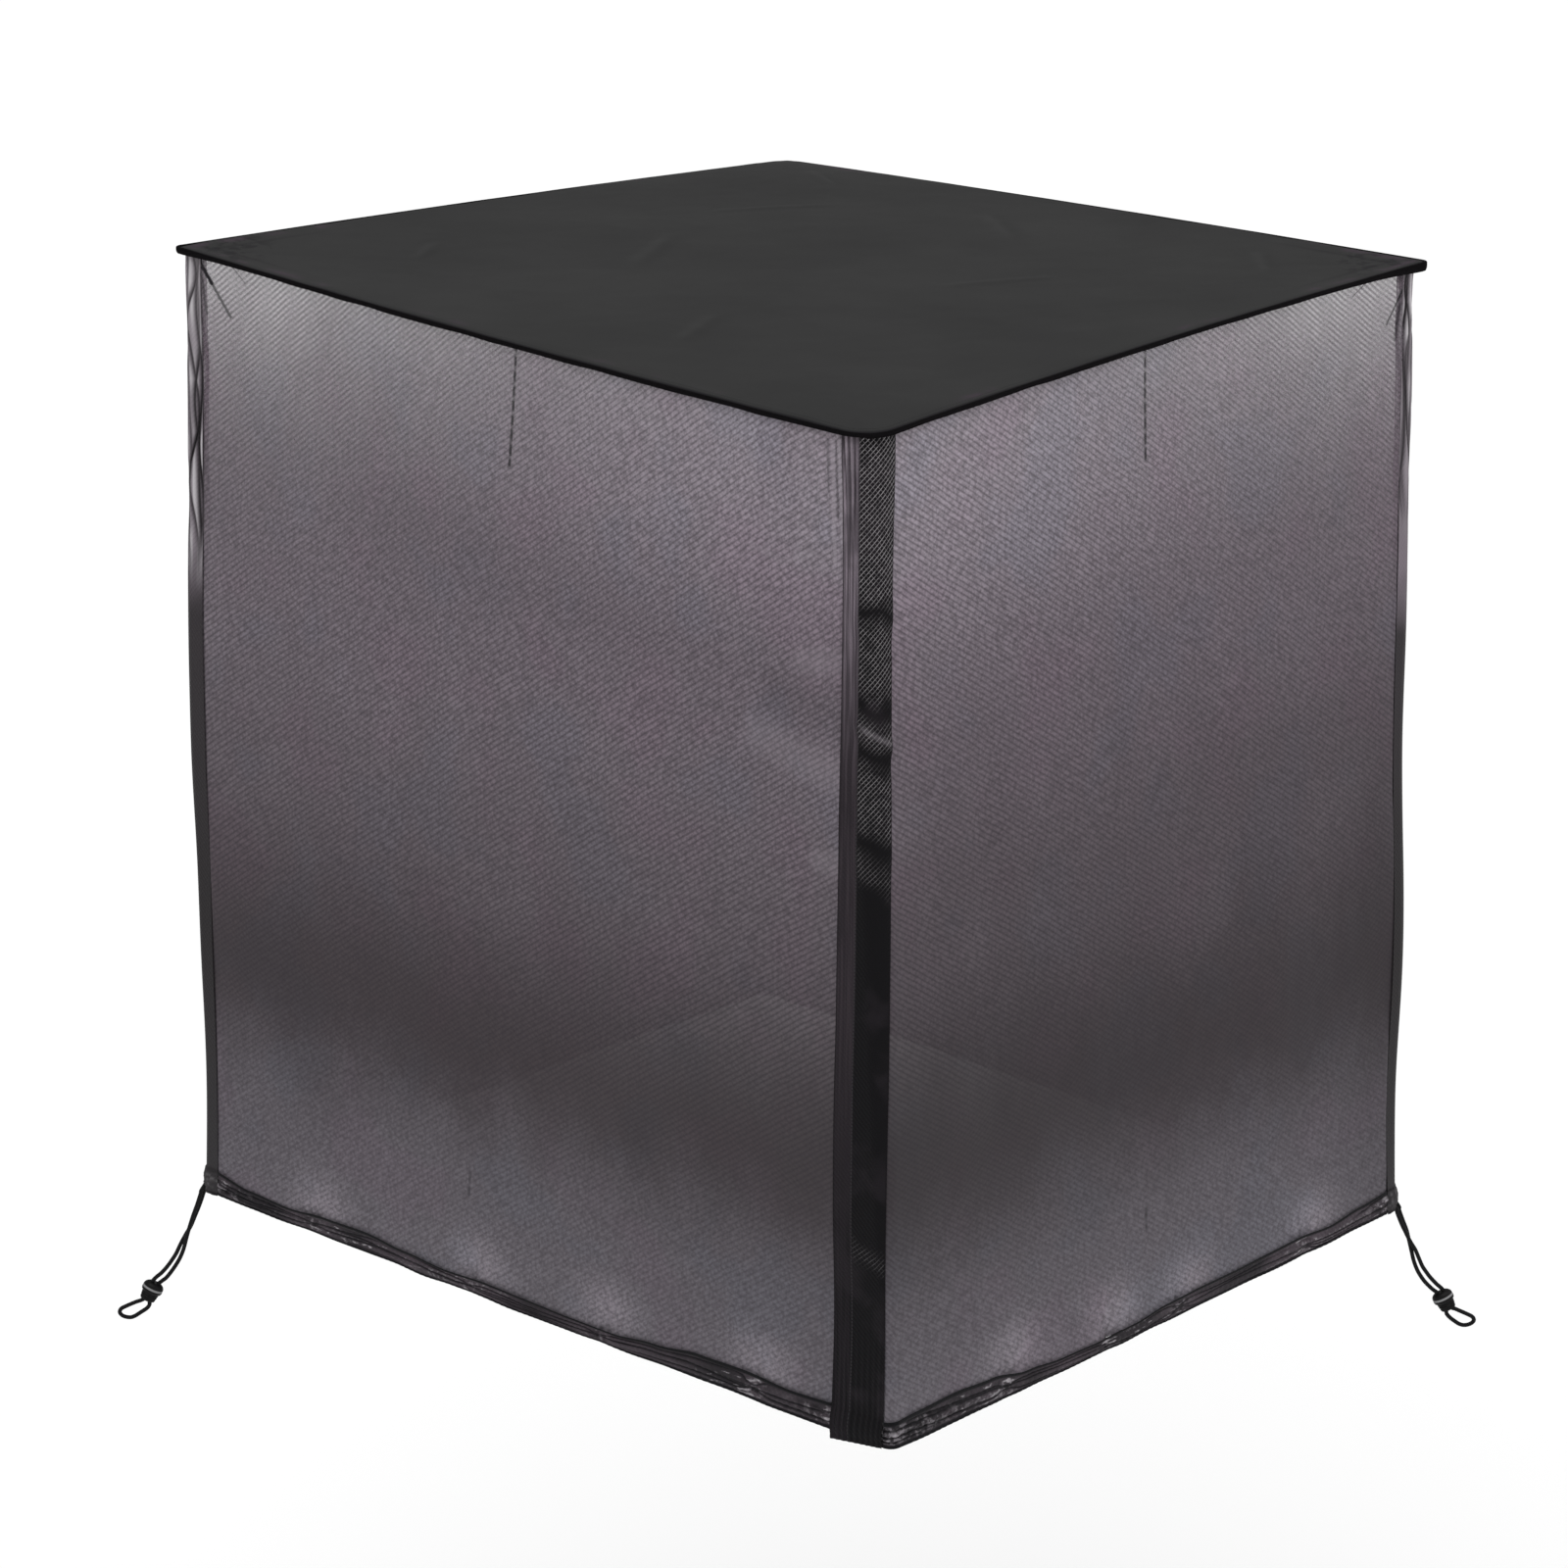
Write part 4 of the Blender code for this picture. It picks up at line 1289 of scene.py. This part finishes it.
def far_strip_folds(index, reach, height):
    """Outward offset of a far corner's strip, the painted highlights on its swells and the painted shade in
    its creases and along its edges.
    """
    loop_foot, plain = FAR_STRIPS[index]
    upper = smooth(height, loop_foot, loop_foot + LOOP_FADE)
    away = np.abs(reach)
    seed = 80 + index * 7
    crease = np.zeros_like(away)
    for middle, swing, rate, phase in LOOPS:
        seed = seed + 1
        turn = height * rate * 2.0 * math.pi + phase + index + 1.1 * noise2(height * 12.0, away * 0.0, seed)
        line = middle + swing * np.sin(turn)
        strength = 0.85 + 0.25 * noise2(height * 15.0, away * 0.0, seed + 30)
        crease = np.maximum(crease, hump(away, line, LOOP_HALF) * strength)
    crease = np.clip(crease * upper, 0.0, 1.0) * plain
    # painted highlights on the swells, painted shade in the creases and along the strip's edges
    glint = smooth(noise2(away * 190.0, height * 30.0, seed + 2), -0.1, 0.65)
    near_top = smooth(height, 0.84, 0.90)
    lit = upper * (1.0 - crease) * (0.20 + 0.80 * glint) * (0.66 + 0.34 * near_top)
    rim = hump(away, 0.0, mix(0.0060, 0.0032, upper))
    dark = np.maximum(crease, rim * 0.92 * plain)
    offset = LOOP_SLOW * noise2(away * 40.0, height * 9.0, seed + 3)
    offset = offset - LOOP_DEPTH * crease + LOOP_GLINT * glint * upper
    return offset * smooth(HEIGHT - height, 0.0, 0.02), lit, dark


def make_strip(index):
    """The doubled strip over one corner, from under the top's edge to the foot."""
    name, _, _, _, _, drop = STRIPS[index]

    def find(column, row):
        share = column / STRIP_COLUMNS
        level = row / STRIP_ROWS
        before, after = strip_reach(index, level)
        reach = mix(-before, after, share)
        low = drop * (1.0 - share) * float(fade(level, 0.0, 0.05))
        return index, reach, level, low, reach + before, level * HEIGHT, reach

    points, normals, (across, height, reaches) = wall_sheet(STRIP_COLUMNS, STRIP_ROWS, find)
    margin = np.minimum(across, across[-1] - across[0] - across)
    rise = height / hem_height(index, 0.0)
    roll = HEM_BULGE * 0.75 * hem_profile(np.clip(rise, 0.0, 1.1)) * fade(rise, 0.95, 1.10)
    if index == 0:
        offset, lit, dark = near_strip_folds(across, height)
        dark = np.maximum(dark, hump(margin, 0.0, 0.0013) * 0.8)
        roll = roll * 0.8
    else:
        offset, lit, dark = far_strip_folds(index, reaches, height)
        crush = ridges(across * 120.0, height * 170.0, 120 + index)
        low = fade(rise, 0.8, 1.0)
        roll = (roll + STRIP_CRUSH * (crush - 0.5) * low) * smooth(margin, 0.0, 0.006)
        # painted glints on the crushed foot; dark rims at the foot and at the hem's top line, doubled cloth
        # partly in painted shade
        lit = lit + 0.10 * low * smooth(crush, 0.6, 0.95)
        dark = np.maximum(dark, 0.9 * fade(rise, 0.10, 0.18))
        dark = np.maximum(dark, 0.8 * hump(rise, 1.0, 0.05))
    points = points + normals * (STRIP_RISE + offset + roll)[..., None]
    maps = np.stack([across, height], axis=-1)
    lit = np.clip(lit, 0.0, 1.0)
    dark = np.clip(dark, 0.0, 1.0)
    material = FAR_STRIP if index else NEAR_STRIP
    return grid_object(f"strip_{name}", points, maps, material, fold=lit, edge=dark)


# Top and binding


def outline_curve(side, steps):
    """One side of the top's outline from the middle of one corner to the middle of the next."""
    corners, radii = top_outline_data()
    following = (side + 1) % 4
    length = (corners[following] - corners[side]).length
    curve = []
    for step in range(steps + 1):
        share = step / steps
        along = length * mix(share, 0.5 - 0.5 * math.cos(math.pi * share), 0.35)
        corner, reach = (side, along) if along < length / 2.0 else (following, along - length)
        point, normal = ring_point(corners, radii, corner, reach)
        point = point + normal * edge_bow(corner, reach if along > 0.0 else 0.0, 2)
        curve.append((point.x, point.y, edge_height(corner, reach)))
    return np.array(curve)


def top_sag(x, y):
    """Slow unevenness of the top, in metres."""
    slow = noise.noise(Vector((x * 3.1 + 4.0, y * 3.1 - 2.0, 0.7)))
    crease = math.exp(-(((x - 0.16) * 0.8 + (y - 0.05) * 0.6) / 0.05) ** 2)
    return TOP_SWELL * slow + TOP_CREASE * crease


# faint creases of the top: start x, y, end x, y, height in mm, half width in mm
TOP_CREASES = [
    (0.020, -0.130, 0.140, -0.190, 1.4, 6.0),
    (0.100, 0.250, 0.235, 0.175, 1.2, 5.0),
    (-0.230, 0.285, -0.160, 0.330, 1.2, 5.0),
    (-0.300, -0.120, -0.180, -0.060, 0.8, 7.0),
    (0.210, -0.060, 0.300, 0.060, 0.8, 7.0),
    (0.250, -0.330, 0.330, -0.250, 1.0, 6.0),
    (-0.120, 0.120, 0.020, 0.200, 0.8, 8.0),
    (0.290, 0.240, 0.340, 0.330, 1.0, 5.0),
]


def make_top():
    """The top cloth as one patch stretched between its four edges, its edge rolled down."""
    front, right, back, left = [outline_curve(side, TOP_STEPS) for side in range(4)]
    back = back[::-1]
    left = left[::-1]
    across = np.linspace(0.0, 1.0, TOP_STEPS + 1)[:, None, None]
    up = np.linspace(0.0, 1.0, TOP_STEPS + 1)[None, :, None]
    points = (1.0 - up) * front[:, None] + up * back[:, None]
    points = points + (1.0 - across) * left[None, :] + across * right[None, :]
    flat = (1.0 - up) * mix(front[0], front[-1], across) + up * mix(back[0], back[-1], across)
    points = points - flat
    share = np.minimum(np.minimum(across, 1.0 - across), np.minimum(up, 1.0 - up))[..., 0] * 2.0
    rim = edge_distance(points, front, right, back, left)
    inner = smooth(rim, 0.0, 0.06)
    height = points[..., 2] * (1.0 - share) ** 2
    x = points[..., 0]
    y = points[..., 1]
    sag = np.vectorize(top_sag)(x, y)
    # painted light on each crease's crest and painted shade in the hollow beside it
    fold = np.zeros_like(x)
    for start_x, start_y, end_x, end_y, tall, half in TOP_CREASES:
        near = half / 1000.0
        crest = crease_line(x, y, (start_x, start_y), (end_x, end_y), near)
        hollow = crease_line(x - near, y + near, (start_x, start_y), (end_x, end_y), near)
        sag = sag + crest * tall / 1000.0
        fold = fold + TOP_CREASE_SHADE * (crest - hollow)
    sag = sag + TOP_SLOW * noise2(x * 24.0, y * 24.0, 41) + TOP_FINE * noise2(x * 70.0, y * 70.0, 42)
    roll = TOP_ROLL * np.clip(1.0 - rim / TOP_ROLL_WIDTH, 0.0, 1.0) ** 2
    tip = np.zeros_like(x)
    for index in TIP_CORNERS:
        away = np.hypot(x - CORNERS[index][1], y - CORNERS[index][2])
        tip = np.maximum(tip, fade(away, *TIP_REACH))
    ripple = TOP_RIPPLE * noise2(x * 33.0, y * 33.0, 43) * hump(rim, 0.010, 0.012)
    points[..., 2] = height + sag * inner + ripple + TOP_SHEET / 2.0 - roll
    maps = np.stack([x + 0.5, y + 0.5], axis=-1)
    return grid_object("cover_top", points, maps, top_material(), rim=rim, tip=tip, fold=fold)


def crease_line(x, y, start, end, half):
    """1 on a straight crease, fading to 0 across it and at its ends."""
    run = np.array(end) - np.array(start)
    length = np.linalg.norm(run)
    run = run / length
    along = (x - start[0]) * run[0] + (y - start[1]) * run[1]
    away = (x - start[0]) * run[1] - (y - start[1]) * run[0]
    return hump(away, 0.0, half) * between(along, (0.0, length * 0.3), (length * 0.7, length))


def edge_distance(points, *curves):
    """Distance of each point of the top from the nearest edge, in metres."""
    flat = points[..., :2].reshape(-1, 2)
    nearest = np.full(len(flat), 9.0)
    for curve in curves:
        for start, end in zip(curve[:-1:3, :2], curve[3::3, :2]):
            run = end - start
            share = np.clip(((flat - start) @ run) / max(run @ run, 1e-12), 0.0, 1.0)
            away = np.linalg.norm(flat - start - share[:, None] * run, axis=1)
            nearest = np.minimum(nearest, away)
    return nearest.reshape(points.shape[:2])


# half width and height of the binding's section in mm, all round it
TAPE_SECTION = [
    (-1.6, 0.5),
    (-0.4, 0.9),
    (0.9, 0.7),
    (1.6, 0.0),
    (1.8, -1.0),
    (1.7, -2.2),
    (1.1, -3.1),
    (0.0, -3.4),
    (-0.9, -2.8),
    (-1.0, -1.6),
    (-1.6, -0.6),
    (-2.2, 0.0),
]

# corner index, how much deeper the binding is there as a share, how far that reaches in metres
TAPE_ENDS = [
    (1, 1.3, 0.060),
    (3, 0.6, 0.050),
]


def make_binding():
    """A folded tape round the top's edge, deeper where its ends meet at two opposite corners."""
    curves = [outline_curve(side, TAPE_STEPS)[:-1] for side in range(4)]
    path = np.concatenate(curves)
    count = len(path)
    ahead = np.roll(path, -1, axis=0) - np.roll(path, 1, axis=0)
    ahead[:, 2] = 0.0
    ahead = ahead / np.linalg.norm(ahead, axis=1)[:, None]
    out = np.stack([ahead[:, 1], -ahead[:, 0], np.zeros(count)], axis=-1)
    run = np.concatenate([[0.0], np.cumsum(np.linalg.norm(np.diff(path, axis=0), axis=1))])
    deep = np.zeros(count)
    for index, depth, half in TAPE_ENDS:
        away = np.hypot(path[:, 0] - CORNERS[index][1], path[:, 1] - CORNERS[index][2])
        deep = np.maximum(deep, depth * hump(away, 0.0, half))
    wave = noise2(run * 30.0, run * 0.0, 51)
    section = np.array(TAPE_SECTION) / 1000.0
    sides = len(section)
    points = np.zeros((count + 1, sides + 1, 3))
    maps = np.zeros((count + 1, sides + 1, 2))
    for step in range(count + 1):
        place = step % count
        for side in range(sides + 1):
            wide, tall = section[side % sides]
            if tall < 0.0:
                tall = tall * (1.0 + deep[place] + 0.12 * wave[place])
            spot = path[place] + out[place] * (wide + TAPE_WAVE * wave[place])
            points[step, side] = spot + np.array([0.0, 0.0, tall - TAPE_SEAT])
            maps[step, side] = (run[place] % 0.9, side * 0.0015)
    thing = grid_object("edge_binding", points[:, ::-1], maps[:, ::-1], tape_material())
    weld(thing.data, TAPE_WELD)
    return thing


# Cords and locks


def spline_through(route, steps):
    """Points of a smooth curve through the route, steps to each stretch."""
    points = []
    for index in range(len(route) - 1):
        a = route[max(index - 1, 0)]
        b = route[index]
        c = route[index + 1]
        d = route[min(index + 2, len(route) - 1)]
        for step in range(steps):
            t = step / steps
            along = (c - a) * 0.5
            ahead = (d - b) * 0.5
            cube = t**3
            square = t**2
            point = b * (2 * cube - 3 * square + 1) + along * (cube - 2 * square + t)
            point = point + c * (3 * square - 2 * cube) + ahead * (cube - square)
            points.append(point)
    points.append(route[-1])
    return points


def cord_frame(row):
    """Maps outwards, down and sideways in mm to a point of the model."""
    start = Vector((row[2], row[3], -HEIGHT - CORD_DROP))
    outwards = Vector((row[4], row[5], 0.0))
    sideways = Vector((-row[5], row[4], 0.0))

    def place(out, down, side=0.0):
        offset = outwards * out - Vector((0.0, 0.0, down)) + sideways * side
        return start + offset / 1000.0

    return place


def pair_strand(pair, lock, sign):
    """One strand of the doubled cord as outwards, down, sideways, from the hem to the lock."""
    middles = [Vector((row[0], row[1])) for row in pair] + [Vector(lock[0])]
    strand = []
    for index, row in enumerate(pair):
        ahead = middles[index + 1]
        behind = middles[max(index - 1, 0)]
        along = (ahead - behind).normalized()
        across = Vector((along.y, -along.x))
        turn = math.radians(row[3])
        shift = across * (row[2] * math.cos(turn) * sign)
        depth = row[2] * math.sin(turn) * sign
        strand.append((row[0] + shift.x, row[1] + shift.y, depth))
    return strand


def lock_ends(lock, side):
    """Where one strand enters and leaves the lock, side 1 for the outer hole and -1 for the inner."""
    first = Vector(lock[0])
    last = Vector(lock[1])
    along = (last - first).normalized()
    across = Vector((along.y, -along.x)) * LOCK_HALF_GAP * 1000.0 * side
    return [first + across, first.lerp(last, 0.5) + across, last + across]


def cord_route(row):
    """The whole cord as one open route: down one strand, round the end loop and back up the other."""
    pair, lock, loop = row[6], row[7], row[8]
    place = cord_frame(row)
    pair = [CORD_SEAT, *pair]
    down = [place(*p) for p in pair_strand(pair, lock, -1)]
    down += [place(p.x, p.y) for p in lock_ends(lock, 1)]
    tip = [place(*p) for p in loop]
    back = [place(p.x, p.y) for p in reversed(lock_ends(lock, -1))]
    back += [place(*p) for p in reversed(pair_strand(pair, lock, 1))]
    return down + tip + back


def tube(name, path, radius, sides, material):
    """A round tube along a path, with a map in metres along it and round it."""
    count = len(path)
    points = np.zeros((count, sides + 1, 3))
    maps = np.zeros((count, sides + 1, 2))
    across = None
    run = 0.0
    for index, place in enumerate(path):
        ahead = (path[min(index + 1, count - 1)] - path[max(index - 1, 0)]).normalized()
        if across is None:
            across = ahead.orthogonal().normalized()
        across = (across - ahead * across.dot(ahead)).normalized()
        other = ahead.cross(across)
        if index:
            run += (place - path[index - 1]).length
        for side in range(sides + 1):
            turn = 2.0 * math.pi * side / sides
            points[index, side] = place + (across * math.cos(turn) + other * math.sin(turn)) * radius
            maps[index, side] = (run, side / sides * BRAID_PITCH * 5.0)
    thing = grid_object(name, points, maps, material)
    weld(thing.data, CORD_WELD, sides)
    return thing, run


def make_cord(row):
    path = spline_through(cord_route(row), CORD_STEPS)
    cord, length = tube(f"cord_{row[0]}", path, CORD_RADIUS, CORD_SIDES, CORD_BRAID)
    return cord, path, length


# distance along the lock in mm, half width in mm
LOCK_PROFILE = [
    (0.0, 5.6),
    (0.5, 7.0),
    (1.6, 8.6),
    (3.0, 9.7),
    (4.4, 10.2),
    (5.6, 10.3),
    (5.9, 9.9),
    (6.5, 9.9),
    (6.8, 10.4),
    (8.6, 10.4),
    (10.2, 9.9),
    (11.0, 9.0),
    (11.6, 8.1),
    (12.2, 8.0),
    (12.7, 8.5),
    (13.4, 8.5),
    (13.9, 7.7),
    (14.5, 7.6),
    (15.0, 8.2),
    (15.7, 8.2),
    (16.2, 7.5),
    (16.8, 7.4),
    (17.3, 7.8),
    (18.8, 7.6),
    (19.8, 7.1),
    (20.3, 6.2),
]


def make_lock(row):
    """A moulded barrel: domed head with a parting groove, a ribbed tail and two cord holes."""
    place = cord_frame(row)
    head = place(*row[7][0])
    tail = place(*row[7][1])
    along = (tail - head).normalized()
    depth = Vector((-row[5], row[4], 0.0))
    across = along.cross(depth).normalized()
    form = bmesh.new()
    rings = []
    for distance, half in LOCK_PROFILE:
        ring = []
        for step in range(LOCK_SIDES):
            turn = 2.0 * math.pi * step / LOCK_SIDES
            wide = across * math.cos(turn) * half
            deep = depth * math.sin(turn) * half * LOCK_DEPTH
            ring.append(form.verts.new(head + (along * distance + wide + deep) / 1000.0))
        rings.append(ring)
    for low, high in zip(rings[:-1], rings[1:]):
        for step in range(LOCK_SIDES):
            following = (step + 1) % LOCK_SIDES
            form.faces.new((low[step], low[following], high[following], high[step]))
    form.faces.new(list(reversed(rings[0])))
    form.faces.new(rings[-1])
    bmesh.ops.recalc_face_normals(form, faces=form.faces)
    data = bpy.data.meshes.new(f"lock_{row[0]}")
    form.to_mesh(data)
    form.free()
    lock = add_object(f"lock_{row[0]}", data)
    cutters = []
    for side in (1, -1):
        cutter = hole_cutter(head + across * LOCK_HALF_GAP * side, along, (tail - head).length)
        cutters.append(cutter)
        cut = lock.modifiers.new("hole", "BOOLEAN")
        cut.operation = "DIFFERENCE"
        cut.solver = "EXACT"
        cut.object = cutter
    bpy.context.view_layer.update()
    view = lock.evaluated_get(bpy.context.evaluated_depsgraph_get())
    bored = bpy.data.meshes.new_from_object(view)
    lock.modifiers.clear()
    lock.data = bored
    for cutter in cutters:
        bpy.data.objects.remove(cutter, do_unlink=True)
    lock.data.shade_smooth()
    lock.data.set_sharp_from_angle(angle=math.radians(38.0))
    lock.data.materials.clear()
    lock.data.materials.append(lock_material(f"lock_plastic_{row[0]}", head, along))
    return lock


def hole_cutter(start, along, length):
    """A rod that bores one cord hole, a little longer than the lock."""
    data = bpy.data.meshes.new("cord_hole")
    form = bmesh.new()
    bmesh.ops.create_cone(
        form,
        cap_ends=True,
        segments=20,
        radius1=HOLE_RADIUS,
        radius2=HOLE_RADIUS,
        depth=length + HOLE_SPARE,
    )
    form.to_mesh(data)
    form.free()
    thing = add_object("cord_hole", data)
    thing.rotation_mode = "QUATERNION"
    thing.rotation_quaternion = along.to_track_quat("Z", "Y")
    thing.location = start + along * length / 2.0
    return thing


# Camera, light and floor


def make_camera():
    data = bpy.data.cameras.new("camera")
    data.lens = CAMERA_LENS
    data.sensor_width = CAMERA_SENSOR
    camera = add_object("camera", data)
    camera.location = CAMERA_PLACE
    camera.rotation_euler = (math.radians(CAMERA_TILT), 0.0, math.radians(CAMERA_TURN))
    bpy.context.scene.camera = camera


def make_light():
    world = bpy.data.worlds.new("studio")
    world.use_nodes = True
    background = world.node_tree.nodes["Background"]
    background.inputs["Color"].default_value = (1.0, 1.0, 1.0, 1.0)
    background.inputs["Strength"].default_value = WORLD_STRENGTH
    bpy.context.scene.world = world
    for name, towards, angle, power in LIGHTS:
        data = bpy.data.lights.new(name, "SUN")
        data.angle = math.radians(angle)
        data.energy = power
        lamp = add_object(name, data)
        lamp.location = Vector(towards) * 3.0
        lamp.rotation_euler = (-Vector(towards)).to_track_quat("-Z", "Y").to_euler()


def make_floor():
    data = bpy.data.meshes.new("floor")
    signs = ((-1.0, -1.0), (1.0, -1.0), (1.0, 1.0), (-1.0, 1.0))
    corners = [(FLOOR_HALF * x, FLOOR_HALF * y, 0.0) for x, y in signs]
    data.from_pydata(corners, [], [(0, 1, 2, 3)])
    floor = add_object("floor", data)
    floor.location = (0.0, 0.0, FLOOR_Z)
    white = Shader("floor").finish(
        Base_Color=(0.93, 0.93, 0.93, 1.0),
        Roughness=1.0,
        Specular_IOR_Level=0.0,
    )
    data.materials.append(white)


def main():
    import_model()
    bpy.context.scene.view_settings.view_transform = "Standard"
    make_camera()
    for row in CORDS:
        cord, path, length = make_cord(row)
        lock = make_lock(row)
        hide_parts(f"drawcord_{row[0]}")
        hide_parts(f"cord_lock_{row[0]}")
        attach(cord, "root")
        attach(lock, "root")
        tuple(path[0])
        [tuple(p) for p in path]
    for index in range(4):
        name = SIDES[index][0]
        net = make_side(index)
        hem = make_hem(index)
        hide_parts(f"side_{name}")
        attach(net, "root")
        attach(hem, "root")
        strip = make_strip(index)
        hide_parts(f"corner_{STRIPS[index][0]}")
        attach(strip, "root")
    top = make_top()
    binding = make_binding()
    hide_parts("top_panel")
    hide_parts("top_binding")
    for piece, slot in ((top, "top_cloth"), (binding, "binding_tape")):
        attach(piece, "root")
    make_light()
    make_floor()


HEM_CLOTH = hem_material()
NEAR_STRIP = near_strip_material()
FAR_STRIP = far_strip_material()
CORD_BRAID = cord_material()

main()
